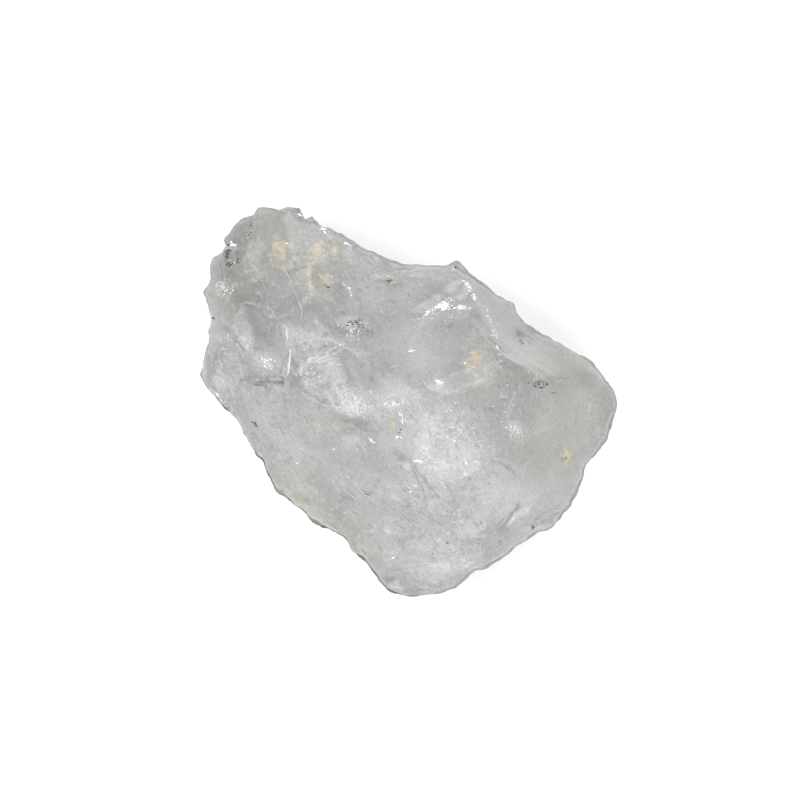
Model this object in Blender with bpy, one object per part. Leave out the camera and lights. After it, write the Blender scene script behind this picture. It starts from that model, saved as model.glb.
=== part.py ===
"""Rough quartz: one lump broken off a vein, bounded all round by fracture faces.

The lump is described in millimetres on a sketch seen from above, x to the right and y up the sheet,
z up from the face that it rests on. Every fracture is a flat face or a bowl-shaped (conchoidal)
hollow. At the end the sketch is turned, so that the longest way across lies along X, and shifted, so
that the middle of the box around the lump stands over the origin.
"""

import math

import bmesh
import bpy
from mathutils import Matrix, Vector

MM = 0.001
TURN = 38.0  # degrees from the sketch to the finished lump
MIDDLE = (-2.41, -0.49)  # mm, the middle of the turned outline
BLOCK = 90.0  # mm, the block that the faces are cut from

# name, x, y, z, bearing, lean: a flat face through the point, facing the bearing (degrees from x,
# anticlockwise) and leaning up from level by the lean. Everything outside it is gone.
FLATS = [
    ("base", 0, 0, 0, 0, -90),
    ("milk_face", 4, -1, 24.6, -38, 70),
    ("east_face", 19, -1, 17.0, -10, 51),
    ("south_face", 3, -12, 18.8, -90, 52),
    ("south_west_face", -12, -6.5, 14.6, 224, 47),
    ("left_lobe", -20, 3, 12.0, 196, 60),
    ("wing_face", -13, 15, 14.0, 124, 61),
    ("wing_edge", -22.6, 14, 9.6, 174, 40),
    ("south_east", 14, -13.5, 15.5, -55, 46),
]

# name, x, y, z, bearing, lean below, lean above: the broken rim, two flat faces that meet at z
RIM = [
    ("rim_north", -2, 20.4, 8.2, 71.5, -44, 4),
    ("rim_north_east", 15.9, 10.75, 9.0, 54, -30, 5),
    ("rim_east_corner", 25.65, 3.35, 6.0, 38, -52, 4),
    ("rim_east", 27.15, 0, 8.8, 4, -34, 3),
    ("rim_east_south", 25.8, -4.6, 6.2, -27, -48, 4),
    ("rim_se", 22.3, -11.4, 7.8, -34, -28, 3),
    ("rim_south_east", 12.1, -20.35, 4.6, -58.5, -42, 3),
    ("rim_south_chip", 6.6, -23.6, 6.6, -64, -56, 8),
    ("rim_south", 3, -24.6, 4.2, -83, -36, 4),
    ("rim_south_tip", -1.8, -23.4, 6.2, 237, -50, 5),
    ("rim_sw", -8.1, -18.1, 7.2, 226.4, -32, 2),
    ("rim_sw_upper", -20.0, -4.4, 4.8, 214, -46, 4),
    ("rim_lobe_sw", -24.3, 1.6, 7.2, 214, -38, 4),
    ("rim_west", -24.5, 13.6, 5.2, 176, -56, 5),
    ("rim_wing_west", -22.0, 19.85, 6.6, 149, -34, 5),
    ("rim_wing_nw", -19.9, 22.7, 4.8, 131, -48, 6),
    ("rim_wing_top", -16.3, 24.55, 6.4, 97, -36, 5),
    ("rim_wing_tip", -13.75, 24.45, 5.0, 80, -52, 5),
]
RIM_BAND = 0.6  # mm, the height between the two faces' points

# name, x, y, z, bearing, lean, radius: a round bowl-shaped hollow, deepest at the point, facing the
# bearing
BOWLS = [
    ("north_hollow", 1.5, 8.5, 17.2, 93, 48, 55),
    ("band", 11.3, 10.6, 14.2, 42, 28, 25),
    ("rim_hollow_north", 0.8, 17.05, 8.5, 80.5, 6, 19),
    ("rim_notch_band", 15.75, 9.35, 9, 46, 10, 5),
    ("rim_hollow_north_east", 20.3, 6.8, 8, 58, 5, 13),
    ("rim_hollow_west", -23.95, 8.8, 6, 177, 0, 14),
    ("rim_hollow_sw", -6.2, -17.3, 8.5, 228, 8, 9),
    ("rim_hollow_lobe", -19.4, -4.3, 6.8, 214, 0, 16),
    ("under_north", 2.5, 14.6, 4.6, 78, -36, 17),
    ("under_south_east", 16.2, -13.3, 1.6, -48, -40, 14),
    ("under_south_west", -12.4, -9.6, 2.2, 222, -40, 20),
    ("under_wing", -18.2, 14.4, 2.3, 158, -48, 12),
]

# name, x, y, half length, half width, bearing of the length, depth: an oval bowl in the upper face
# over the sketch point
DENTS = [
    ("south_broad", 3.0, -17.0, 6.0, 3.6, 90, 0.6),
    ("west_broad", -13.5, -6.5, 6.2, 4.0, -50, 0.5),
    ("east_broad", 20.0, -4.8, 6.5, 4.6, -70, 0.5),
    ("milk_broad", 7.6, -3.8, 5.6, 4.2, 10, 0.35),
    ("wing_broad", -14.5, 17.5, 6.5, 3.6, 110, 0.45),
    ("wing_pocket", -18.9, 9.2, 3.7, 2.4, 100, 1.2),
    ("wing_pocket_low", -16.2, 8.2, 2.1, 1.2, 75, 0.7),
    ("middle_scoop", -7.75, 4.1, 5.2, 3.6, -15, 1.1),
    ("bright_scoop", -5.6, -0.5, 2.9, 2.0, -20, 0.7),
    ("grey_scoop", -6.2, -3.2, 3.2, 1.7, -5, 0.5),
    ("left_scoop", -21.2, 5.6, 4.0, 2.7, 90, 0.5),
    ("junction_pit", 17.3, 1.7, 1.3, 0.9, -15, 0.55),
    ("band_pit", 15.4, 7.75, 1.2, 0.7, -60, 0.4),
    ("nub_chip", 6.9, 16.2, 1.0, 0.7, 20, 0.4),
    ("comb_low", 4.2, 11.2, 2.7, 1.4, 30, 0.55),
    ("comb_high", 7.8, 12.6, 2.3, 1.8, 75, 0.6),
    ("ridge_nicks", 11.4, 8.0, 2.6, 1.1, 112, 0.45),
    ("ridge_chip_high", -5.8, 8.6, 2.7, 1.7, -20, 0.6),
    ("ridge_chip_low", -3.4, 5.0, 3.2, 1.0, -75, 0.5),
    ("south_dent", 10.0, -12.6, 4.4, 2.8, 60, 0.5),
    ("south_lens", 13.8, -14.4, 2.6, 1.3, 55, 0.5),
    ("tip_dent", -0.6, -22.6, 1.7, 1.2, 60, 0.5),
]
BOWL_FLATNESS = 4.0  # an oval bowl is cut by an ellipsoid this many times as deep as the bowl

# name, x, y, bearing, half width, depth: a chip bitten out of the rim from top to bottom
CHIPS = [
    ("chip_wing_1", -18.6, 23.2, 131, 1.6, 0.6),
    ("chip_wing_2", -22.3, 18.9, 158, 1.2, 0.6),
    ("chip_wing_3", -15.4, 24.4, 92, 0.8, 0.25),
    ("chip_wing_4", -11.9, 23.4, 76, 0.9, 0.2),
    ("chip_wing_5", -10.3, 22.5, 66, 1.8, 0.5),
    ("chip_wing_6", -8.4, 21.6, 68, 1.6, 0.35),
    ("chip_west_1", -23.9, 11.4, 176, 1.6, 0.3),
    ("chip_west_2", -23.9, 15.6, 175, 2.4, 0.65),
    ("chip_sw_1", -21.1, -2.3, 216, 1.8, 0.4),
    ("chip_sw_2", -13.4, -12.4, 222, 2.6, 0.4),
    ("chip_sw_3", -3.1, -22.1, 228, 2.2, 0.3),
    ("chip_south_1", 0.6, -24.4, -95, 2.0, 0.3),
    ("chip_se_1", 15.2, -18.0, -52, 2.2, 0.55),
    ("chip_se_2", 23.5, -8.6, -28, 2.2, 0.7),
    ("chip_e_1", 25.2, 3.1, 40, 1.3, 0.3),
]
CHIP_HEIGHT = 7.0  # mm above the base, where a chip meets the rim
CHIP_TALL = 3.0  # mm, half the height of the ellipsoid that bites a chip out

# name, x, y, bearing, length, width, depth: a step, its wall through the point and its floor rising
# away along the bearing until it meets the face again
LEDGES = [("lobe_step", -17.4, 2.2, 92, 6.5, 4.0, 0.9)]
LEDGE_CLEAR = 6.0  # mm, how far the cutter stands out of the face

to_lump = Matrix.Translation((-MIDDLE[0], -MIDDLE[1], 0.0)) @ Matrix.Rotation(
    math.radians(TURN), 4, "Z"
)
to_lump = Matrix.Scale(MM, 4) @ to_lump


def facing(bearing, lean):
    """The outward line of a face, on the sketch."""
    b, l = math.radians(bearing), math.radians(lean)
    return Vector((math.cos(l) * math.cos(b), math.cos(l) * math.sin(b), math.sin(l)))


def place(point):
    return to_lump @ Vector(point)


def turned(line):
    return (to_lump.to_3x3() @ line).normalized()


def cut_flat(bm, point, line):
    """Takes away what is outside one flat face, and closes the cut."""
    everything = bm.verts[:] + bm.edges[:] + bm.faces[:]
    cut = bmesh.ops.bisect_plane(
        bm, geom=everything, plane_co=place(point), plane_no=turned(line), dist=1e-8,
        clear_outer=True,
    )
    edges = [e for e in cut["geom_cut"] if isinstance(e, bmesh.types.BMEdge)]
    if edges:
        bmesh.ops.contextual_create(bm, geom=edges)


def finest(radius):
    """Rounds of subdivision that keep a ball's flats to about 0.03 mm off the true bowl."""
    return 5 if radius > 18 else 4 if radius > 5 else 3


def cutter(name, mesh_of):
    """A hidden object whose mesh mesh_of builds, and the Boolean that takes it from the lump."""
    bm = bmesh.new()
    mesh_of(bm)
    bmesh.ops.recalc_face_normals(bm, faces=bm.faces)
    mesh = bpy.data.meshes.new(name)
    bm.to_mesh(mesh)
    bm.free()
    tool = bpy.data.objects.new(name, mesh)
    tool.hide_render = True
    tool.display_type = "WIRE"
    bpy.context.scene.collection.objects.link(tool)
    cut = quartz.modifiers.new(name, "BOOLEAN")
    cut.operation, cut.solver, cut.object = "DIFFERENCE", "EXACT", tool


def cut_oval(name, centre, axes, radii):
    """Takes away an ellipsoid with these half sizes (mm) along these three square lines."""
    put = to_lump @ Matrix.Translation(centre) @ Matrix(axes).transposed().to_4x4()
    put = put @ Matrix.Diagonal((*radii, 1)) @ Matrix.Rotation(radii[0] + centre.x, 4, (3, 5, 8))
    rounds = finest(max(radii))
    cutter(
        name,
        lambda bm: bmesh.ops.create_icosphere(bm, subdivisions=rounds, radius=1.0, matrix=put),
    )


def square_to(up, bearing):
    """Two lines in the face that faces up: one along the bearing, and the one square to it."""
    along = facing(bearing, 0)
    along = (along - up * along.dot(up)).normalized()
    return along, up.cross(along)


def met(start, line):
    """Where a line on the sketch first meets the lump as cut so far, and that face's outward line."""
    bpy.context.view_layer.update()
    body = quartz.evaluated_get(bpy.context.evaluated_depsgraph_get())
    hit, point, normal, _ = body.ray_cast(place(start), turned(line))
    if not hit:
        raise ValueError(f"nothing is met from {start}")
    back = to_lump.inverted()
    return back @ point, (back.to_3x3() @ normal).normalized()


for leftover in list(bpy.data.objects):
    bpy.data.objects.remove(leftover, do_unlink=True)

# the block, and the flat faces that it is cut back to
bm = bmesh.new()
bmesh.ops.create_cube(bm, size=BLOCK * MM)
for name, x, y, z, bearing, lean in FLATS:
    cut_flat(bm, (x, y, z), facing(bearing, lean))
for name, x, y, z, bearing, below, above in RIM:
    cut_flat(bm, (x, y, z), facing(bearing, below))
    cut_flat(bm, (x, y, z + RIM_BAND), facing(bearing, above))
bmesh.ops.dissolve_degenerate(bm, dist=1e-6, edges=bm.edges)
bmesh.ops.recalc_face_normals(bm, faces=bm.faces)
mesh = bpy.data.meshes.new("quartz")
bm.to_mesh(mesh)
bm.free()
quartz = bpy.data.objects.new("quartz", mesh)
bpy.context.scene.collection.objects.link(quartz)

# the bowl-shaped hollows that make the outline dip in and the upper faces dish
for name, x, y, z, bearing, lean, radius in BOWLS:
    line = facing(bearing, lean)
    axes = (*square_to(line, bearing + 90), line)
    cut_oval(name, Vector((x, y, z)) + line * radius, axes, (radius,) * 3)

# where the ledge, the oval bowls and the rim's chips meet the faces that are there by now
down = Vector((0, 0, -1))
ledges = [(ledge, *met((*ledge[1:3], BLOCK), down)) for ledge in LEDGES]
dents = [(dent, *met((*dent[1:3], BLOCK), down)) for dent in DENTS]
chips = []
for chip in CHIPS:
    way_in = -facing(chip[3], 0)
    chips.append((chip, *met(Vector((*chip[1:3], CHIP_HEIGHT)) - way_in * 20, way_in)))

for (name, x, y, bearing, length, width, depth), point, up in ledges:
    along, side = square_to(up, bearing)
    rise = math.atan2(depth, width)
    floor_up = up * math.cos(rise) - along * math.sin(rise)
    floor_along = along * math.cos(rise) + up * math.sin(rise)
    middle = point - up * depth + floor_along * width / 2 + floor_up * LEDGE_CLEAR / 2
    axes = Matrix((floor_along, side, floor_up)).transposed().to_4x4()
    size = Matrix.Diagonal((width, length, LEDGE_CLEAR, 1))
    put = to_lump @ Matrix.Translation(middle) @ axes @ size
    cutter(name, lambda bm: bmesh.ops.create_cube(bm, size=1.0, matrix=put))
for (name, x, y, half_length, half_width, bearing, depth), point, up in dents:
    tall = depth * BOWL_FLATNESS
    wider = 1 / math.sqrt(1 - ((tall - depth) / tall) ** 2)
    axes = (*square_to(up, bearing), up)
    cut_oval(name, point + up * (tall - depth), axes, (half_length * wider, half_width * wider, tall))
for (name, x, y, bearing, half_width, depth), point, up in chips:
    line = facing(bearing, 0)
    axes = (line, Vector((0, 0, 1)).cross(line), Vector((0, 0, 1)))
    cut_oval(name, point + line * (half_width - depth), axes, (half_width, half_width, CHIP_TALL))

look = bpy.data.materials.new("quartz")
look.use_nodes = True
glassy = look.node_tree.nodes["Principled BSDF"]
glassy.inputs["Base Color"].default_value = (0.72, 0.73, 0.72, 1)
glassy.inputs["Roughness"].default_value = 0.2
glassy.inputs["IOR"].default_value = 1.544
quartz.data.materials.append(look)
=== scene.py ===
# %% [markdown]
# # Rough quartz
#
# A lump of cloudy rock crystal is one piece of one mineral, so its look comes from three things: the way it
# broke, the light that goes through it, and what is shut inside it. Quartz has no cleavage. It breaks like
# thick glass, in flat or bowl-shaped fracture faces with fine ripples, and its thin edges crumble into small
# chips. This lesson builds the lump's skin as one worked-out surface, then fills it with the clouds, healed
# cracks, rust stains and specks that make it milky and grey rather than clear. All sizes are millimetres on
# a sketch seen from above, and they are turned into the frame's metres at the end.

import bpy
import numpy as np
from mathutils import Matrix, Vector


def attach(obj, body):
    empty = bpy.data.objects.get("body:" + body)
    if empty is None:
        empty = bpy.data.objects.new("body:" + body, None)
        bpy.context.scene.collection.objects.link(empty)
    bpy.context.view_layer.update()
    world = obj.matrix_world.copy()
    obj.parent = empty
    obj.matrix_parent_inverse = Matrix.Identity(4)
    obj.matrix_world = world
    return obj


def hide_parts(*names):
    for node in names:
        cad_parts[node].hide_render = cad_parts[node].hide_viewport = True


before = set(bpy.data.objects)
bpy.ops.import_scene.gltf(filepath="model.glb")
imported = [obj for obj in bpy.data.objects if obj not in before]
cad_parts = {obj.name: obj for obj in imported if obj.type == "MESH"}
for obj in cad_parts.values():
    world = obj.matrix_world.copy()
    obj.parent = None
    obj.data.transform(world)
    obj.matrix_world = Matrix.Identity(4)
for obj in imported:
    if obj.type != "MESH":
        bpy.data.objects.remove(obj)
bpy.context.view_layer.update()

# %% [markdown]
# ## From the sketch to the frame
#
# The sketch has x to the right, y up the sheet and z up from the face that the lump rests on. Turning it by
# 38 degrees lays the longest way across along the frame's X, and the shift puts the middle of the outline
# over the origin. Everything below is worked out on the sketch, because that is how the lump is seen from
# above.

# %% The sketch
MM = 0.001
TURN = np.radians(38.0)
MIDDLE = np.array([-2.41, -0.49, 0.0])
TURNED = np.array([[np.cos(TURN), -np.sin(TURN), 0], [np.sin(TURN), np.cos(TURN), 0], [0, 0, 1]])


def to_frame(points):
    """Sketch points in millimetres, turned and shifted into the frame's metres."""
    return (np.asarray(points, float) @ TURNED.T - MIDDLE) * MM


def facing(bearing, lean):
    """The outward line of a face: bearing in degrees from x, lean in degrees up from level."""
    b, l = np.radians(bearing), np.radians(lean)
    return np.array([np.cos(l) * np.cos(b), np.cos(l) * np.sin(b), np.sin(l)])


# %% [markdown]
# ## The fractures
#
# Each blow or crack that shaped the lump left one face. A flat one is a point and the way it faces. A bowl
# is a ball or an ellipsoid taken away. The lists are those of the solid in the frame, so the skin lies on
# it. Only chip_wing_3 is shallower here, because it is narrower than the skin's grid can hold.

# %% The fracture lists
# name, x, y, z, bearing, lean: a flat face through the point, facing the bearing (degrees from x,
# anticlockwise) and leaning up from level by the lean. Everything outside it is gone.
FLATS = [
    ("base", 0, 0, 0, 0, -90),
    ("milk_face", 4, -1, 24.6, -38, 70),
    ("east_face", 19, -1, 17.0, -10, 51),
    ("south_face", 3, -12, 18.8, -90, 52),
    ("south_west_face", -12, -6.5, 14.6, 224, 47),
    ("left_lobe", -20, 3, 12.0, 196, 60),
    ("wing_face", -13, 15, 14.0, 124, 61),
    ("wing_edge", -22.6, 14, 9.6, 174, 40),
    ("south_east", 14, -13.5, 15.5, -55, 46),
]

# name, x, y, z, bearing, lean below, lean above: the broken rim, two flat faces that meet at z
RIM = [
    ("rim_north", -2, 20.4, 8.2, 71.5, -44, 4),
    ("rim_north_east", 15.9, 10.75, 9.0, 54, -30, 5),
    ("rim_east_corner", 25.65, 3.35, 6.0, 38, -52, 4),
    ("rim_east", 27.15, 0, 8.8, 4, -34, 3),
    ("rim_east_south", 25.8, -4.6, 6.2, -27, -48, 4),
    ("rim_se", 22.3, -11.4, 7.8, -34, -28, 3),
    ("rim_south_east", 12.1, -20.35, 4.6, -58.5, -42, 3),
    ("rim_south_chip", 6.6, -23.6, 6.6, -64, -56, 8),
    ("rim_south", 3, -24.6, 4.2, -83, -36, 4),
    ("rim_south_tip", -1.8, -23.4, 6.2, 237, -50, 5),
    ("rim_sw", -8.1, -18.1, 7.2, 226.4, -32, 2),
    ("rim_sw_upper", -20.0, -4.4, 4.8, 214, -46, 4),
    ("rim_lobe_sw", -24.3, 1.6, 7.2, 214, -38, 4),
    ("rim_west", -24.5, 13.6, 5.2, 176, -56, 5),
    ("rim_wing_west", -22.0, 19.85, 6.6, 149, -34, 5),
    ("rim_wing_nw", -19.9, 22.7, 4.8, 131, -48, 6),
    ("rim_wing_top", -16.3, 24.55, 6.4, 97, -36, 5),
    ("rim_wing_tip", -13.75, 24.45, 5.0, 80, -52, 5),
]
RIM_BAND = 0.6  # mm, the height between the two faces' points

# name, x, y, z, bearing, lean, radius: a round bowl-shaped hollow, deepest at the point, facing the
# bearing
BOWLS = [
    ("north_hollow", 1.5, 8.5, 17.2, 93, 48, 55),
    ("band", 11.3, 10.6, 14.2, 42, 28, 25),
    ("rim_hollow_north", 0.8, 17.05, 8.5, 80.5, 6, 19),
    ("rim_notch_band", 15.75, 9.35, 9, 46, 10, 5),
    ("rim_hollow_north_east", 20.3, 6.8, 8, 58, 5, 13),
    ("rim_hollow_west", -23.95, 8.8, 6, 177, 0, 14),
    ("rim_hollow_sw", -6.2, -17.3, 8.5, 228, 8, 9),
    ("rim_hollow_lobe", -19.4, -4.3, 6.8, 214, 0, 16),
    ("under_north", 2.5, 14.6, 4.6, 78, -36, 17),
    ("under_south_east", 16.2, -13.3, 1.6, -48, -40, 14),
    ("under_south_west", -12.4, -9.6, 2.2, 222, -40, 20),
    ("under_wing", -18.2, 14.4, 2.3, 158, -48, 12),
]

# name, x, y, half length, half width, bearing of the length, depth: an oval bowl in the upper face
# over the sketch point
DENTS = [
    ("south_broad", 3.0, -17.0, 6.0, 3.6, 90, 0.6),
    ("west_broad", -13.5, -6.5, 6.2, 4.0, -50, 0.5),
    ("east_broad", 20.0, -4.8, 6.5, 4.6, -70, 0.5),
    ("milk_broad", 7.6, -3.8, 5.6, 4.2, 10, 0.35),
    ("wing_broad", -14.5, 17.5, 6.5, 3.6, 110, 0.45),
    ("wing_pocket", -18.9, 9.2, 3.7, 2.4, 100, 1.2),
    ("wing_pocket_low", -16.2, 8.2, 2.1, 1.2, 75, 0.7),
    ("middle_scoop", -7.75, 4.1, 5.2, 3.6, -15, 1.1),
    ("bright_scoop", -5.6, -0.5, 2.9, 2.0, -20, 0.7),
    ("grey_scoop", -6.2, -3.2, 3.2, 1.7, -5, 0.5),
    ("left_scoop", -21.2, 5.6, 4.0, 2.7, 90, 0.5),
    ("junction_pit", 17.3, 1.7, 1.3, 0.9, -15, 0.55),
    ("band_pit", 15.4, 7.75, 1.2, 0.7, -60, 0.4),
    ("nub_chip", 6.9, 16.2, 1.0, 0.7, 20, 0.4),
    ("comb_low", 4.2, 11.2, 2.7, 1.4, 30, 0.55),
    ("comb_high", 7.8, 12.6, 2.3, 1.8, 75, 0.6),
    ("ridge_nicks", 11.4, 8.0, 2.6, 1.1, 112, 0.45),
    ("ridge_chip_high", -5.8, 8.6, 2.7, 1.7, -20, 0.6),
    ("ridge_chip_low", -3.4, 5.0, 3.2, 1.0, -75, 0.5),
    ("south_dent", 10.0, -12.6, 4.4, 2.8, 60, 0.5),
    ("south_lens", 13.8, -14.4, 2.6, 1.3, 55, 0.5),
    ("tip_dent", -0.6, -22.6, 1.7, 1.2, 60, 0.5),
]
BOWL_FLATNESS = 4.0  # an oval bowl is cut by an ellipsoid this many times as deep as the bowl

# name, x, y, bearing, half width, depth: a chip bitten out of the rim from top to bottom
CHIPS = [
    ("chip_wing_1", -18.6, 23.2, 131, 1.6, 0.6),
    ("chip_wing_2", -22.3, 18.9, 158, 1.2, 0.6),
    ("chip_wing_3", -15.4, 24.4, 92, 0.8, 0.10),
    ("chip_wing_4", -11.9, 23.4, 76, 0.9, 0.2),
    ("chip_wing_5", -10.3, 22.5, 66, 1.8, 0.5),
    ("chip_wing_6", -8.4, 21.6, 68, 1.6, 0.35),
    ("chip_west_1", -23.9, 11.4, 176, 1.6, 0.3),
    ("chip_west_2", -23.9, 15.6, 175, 2.4, 0.65),
    ("chip_sw_1", -21.1, -2.3, 216, 1.8, 0.4),
    ("chip_sw_2", -13.4, -12.4, 222, 2.6, 0.4),
    ("chip_sw_3", -3.1, -22.1, 228, 2.2, 0.3),
    ("chip_south_1", 0.6, -24.4, -95, 2.0, 0.3),
    ("chip_se_1", 15.2, -18.0, -52, 2.2, 0.55),
    ("chip_se_2", 23.5, -8.6, -28, 2.2, 0.7),
    ("chip_e_1", 25.2, 3.1, 40, 1.3, 0.3),
]
CHIP_HEIGHT = 7.0  # mm above the base, where a chip meets the rim
CHIP_TALL = 3.0  # mm, half the height of the ellipsoid that bites a chip out

# name, x, y, bearing, length, width, depth: a step, its wall through the point and its floor rising
# away along the bearing until it meets the face again
LEDGES = [("lobe_step", -17.4, 2.2, 92, 6.5, 4.0, 0.9)]
LEDGE_CLEAR = 6.0  # mm, how far the cutter stands out of the face

# %% [markdown]
# ## How far the stone goes
#
# The skin is found by looking outward from inside the lump. Along any line the flat faces end the stone at
# the nearest one, and then each bowl and step in turn takes its bite where the line would otherwise come out
# inside it. That one rule gives every face and ridge of the lump. The bowls in the upper face are given by
# their place on the sketch alone, so their height is first found by looking straight down.

# %% Where a line meets a cutter
MISSED = 1e6  # mm, stands for a line that meets nothing
BESIDE_FACE, BESIDE_BOX = 1e-6, 1e-9  # a line that leans toward a face by less than this runs beside it


def flat_cutters():
    """(points, outward lines) of every flat face, the rim's two rings included."""
    points, lines = [], []
    for _, x, y, z, bearing, lean in FLATS:
        points.append((x, y, z))
        lines.append(facing(bearing, lean))
    for _, x, y, z, bearing, below, above in RIM:
        points += [(x, y, z), (x, y, z + RIM_BAND)]
        lines += [facing(bearing, below), facing(bearing, above)]
    return np.array(points, float), np.array(lines)


FLAT_POINTS, FLAT_LINES = flat_cutters()


def to_flats(starts, lines):
    """The distance from each start to every flat face along its line, one row a face: how far the face is in
    front of the start, over how much the line leans toward the face."""
    rows = []
    for p, n in zip(FLAT_POINTS, FLAT_LINES):
        toward = lines @ n
        reach = ((p - starts) @ n) / np.maximum(toward, BESIDE_FACE)
        rows.append(np.where(toward > BESIDE_FACE, reach, MISSED))
    return np.array(rows)


def through_oval(start, lines, centre, squash):
    """Where lines from start go into and out of an ellipsoid. Squash takes it to a ball of radius 1, and the
    distances are the two roots of |s + d t|^2 = 1."""
    s, d = (start - centre) @ squash.T, lines @ squash.T
    a, b, c = (d * d).sum(-1), (d * s).sum(-1), (s * s).sum(-1) - 1
    inside = b * b - a * c
    root = np.sqrt(np.maximum(inside, 0))
    return np.where(inside > 0, (-b - root) / a, MISSED), np.where(inside > 0, (-b + root) / a, -MISSED)


def through_step(start, lines, centre, axes, halves):
    """The same for a box with those half sizes along those axes: in at the last of the three pairs of sides
    to be passed, out at the first of them to be left."""
    s, d = (start - centre) @ axes.T, lines @ axes.T
    d = np.where(np.abs(d) < BESIDE_BOX, BESIDE_BOX, d)
    ends = np.stack([(-halves - s) / d, (halves - s) / d])
    enter, leave = ends.min(0).max(-1), ends.max(0).min(-1)
    return np.where(enter < leave, enter, MISSED), np.where(enter < leave, leave, -MISSED)


# %% The round bowls
BOWL_ROUNDING = 0.22  # mm, how far the edge of a bowl is rounded off
WORN = {"north_hollow": 0.40, "band": 0.30}  # the same for the two bowls whose edges are worn
ovals = []
for name, x, y, z, bearing, lean, radius in BOWLS:
    line = facing(bearing, lean)
    ovals.append((np.array([x, y, z]) + line * radius, np.eye(3) / radius, WORN.get(name, BOWL_ROUNDING)))

# %% The step and the oval bowls, placed from above
ABOVE = 100.0  # mm, a height over the whole lump, to look down from
BARELY = 1e-6  # mm, a difference too slight to count
LOOKS_DOWN = 3  # rounds, as one bowl may be cut through the floor of another
SOFT_RIM = 0.13  # of an oval bowl's half width, how far its edge is rounded off if that is more


def met_from_above(x, y):
    """The point of the upper face over (x, y), and that face's outward line, with the round bowls cut."""
    top = FLAT_LINES[:, 2] > 0
    p, n = FLAT_POINTS[top], FLAT_LINES[top]
    heights = p[:, 2] - ((x - p[:, 0]) * n[:, 0] + (y - p[:, 1]) * n[:, 1]) / n[:, 2]
    z, up = heights.min(), n[heights.argmin()]
    start, down = np.array([x, y, ABOVE]), np.array([[0.0, 0.0, -1.0]])
    for centre, squash, _ in ovals * LOOKS_DOWN:
        enter, leave = through_oval(start, down, centre, squash)
        if ABOVE - leave[0] < z - BARELY <= ABOVE - enter[0] + BARELY:
            z = ABOVE - leave[0]
            up = -squash.T @ squash @ (np.array([x, y, z]) - centre)
            up /= np.linalg.norm(up)
    return np.array([x, y, z]), up


def square_to(up, bearing):
    """Two lines in the face that faces up: along the bearing, and square to it."""
    along = facing(bearing, 0)
    along = along - up * (along @ up)
    along /= np.linalg.norm(along)
    return along, np.cross(up, along)


steps = []
for _, x, y, bearing, length, width, depth in LEDGES:
    point, up = met_from_above(x, y)
    along, side = square_to(up, bearing)
    rise = np.arctan2(depth, width)
    floor_up = up * np.cos(rise) - along * np.sin(rise)
    floor_along = along * np.cos(rise) + up * np.sin(rise)
    middle = point - up * depth + floor_along * width / 2 + floor_up * LEDGE_CLEAR / 2
    halves = np.array([width, length, LEDGE_CLEAR]) / 2
    steps.append((middle, np.array([floor_along, side, floor_up]), halves))
small = []
for _, x, y, half_length, half_width, bearing, depth in DENTS:
    point, up = met_from_above(x, y)
    along, side = square_to(up, bearing)
    tall = depth * BOWL_FLATNESS
    wider = 1 / np.sqrt(1 - ((tall - depth) / tall) ** 2)
    squash = np.array([along / (half_length * wider), side / (half_width * wider), up / tall])
    small.append((point + up * (tall - depth), squash, max(BOWL_ROUNDING, SOFT_RIM * half_width)))

# %% The chips, placed from inside
CHIP_INSIDE = 12  # mm, how far in from the rim the line that finds it starts
for _, x, y, bearing, half_width, depth in CHIPS:
    out = facing(bearing, 0)
    start = np.array([[x, y, CHIP_HEIGHT]]) - CHIP_INSIDE * out
    far = to_flats(start, out[None]).min()
    for centre, squash, _ in ovals:
        enter, leave = through_oval(start, out[None], centre, squash)
        far = enter[0] if 0 < enter[0] < far < leave[0] else far
    centre = start[0] + out * (far + half_width - depth)
    squash = np.array([out / half_width, np.cross([0, 0, 1], out) / half_width, [0, 0, 1 / CHIP_TALL]])
    small.append((centre, squash, BOWL_ROUNDING))
print(len(FLAT_POINTS), "flat faces,", len(ovals) + len(small), "bowls and chips,", len(steps), "step")

# %% [markdown]
# ## The grid of lines
#
# Lines out of one point would meet a flat stone at a slant and crowd together at two poles. Here they start
# on a small lens inside the lump and spread toward a larger one outside it, so they meet the skin nearly
# square on. Their grid is a cube blown up into a ball: each of its six faces is a plain grid of two
# parameters, and the faces share their edge points, so the skin closes without a seam and has no pole. It is
# pushed upward a little, which puts more of the grid on the upper side, where the detail is.

# %% Six faces of a cube, joined along their edges
DIVISIONS = 127
LENS_MIDDLE = np.array([-2.0, 0.0, 6.6])  # turned, as the lenses lie along the lump
INNER, OUTER = np.array([17.5, 10.5, 1.5]), np.array([27.0, 19.0, 12.5])
STRETCH, PUSH = np.array([1.45, 1.45, 1.0]), np.array([0, 0, 0.30])


def unit(lines):
    """Each line at length 1: the line over its own length."""
    return lines / np.linalg.norm(lines, axis=1, keepdims=True)


def cube_grid(n):
    """Whole-number cube points, and the quads between them, wound to face out. A point's key is its three
    numbers written as the digits of one, so that points shared by two faces are found once."""
    i, j = [v.ravel() for v in np.meshgrid(np.arange(n), np.arange(n), indexing="ij")]
    corners = [(i, j), (i + 1, j), (i + 1, j + 1), (i, j + 1)]
    low, high = np.zeros_like(i), np.full_like(i, n)
    points = []
    for side in range(6):
        for a, b in corners:
            columns = [(high, a, b), (low, b, a), (b, high, a), (a, low, b), (a, b, high), (b, a, low)]
            points.append(np.stack(columns[side], -1))
    keys = np.concatenate(points) @ np.array([(n + 1) ** 2, n + 1, 1])
    found, index = np.unique(keys, return_inverse=True)
    quads = index.reshape(6, 4, -1).transpose(0, 2, 1).reshape(-1, 4)
    return np.stack([found // (n + 1) ** 2, found // (n + 1) % (n + 1), found % (n + 1)], -1), quads


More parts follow.
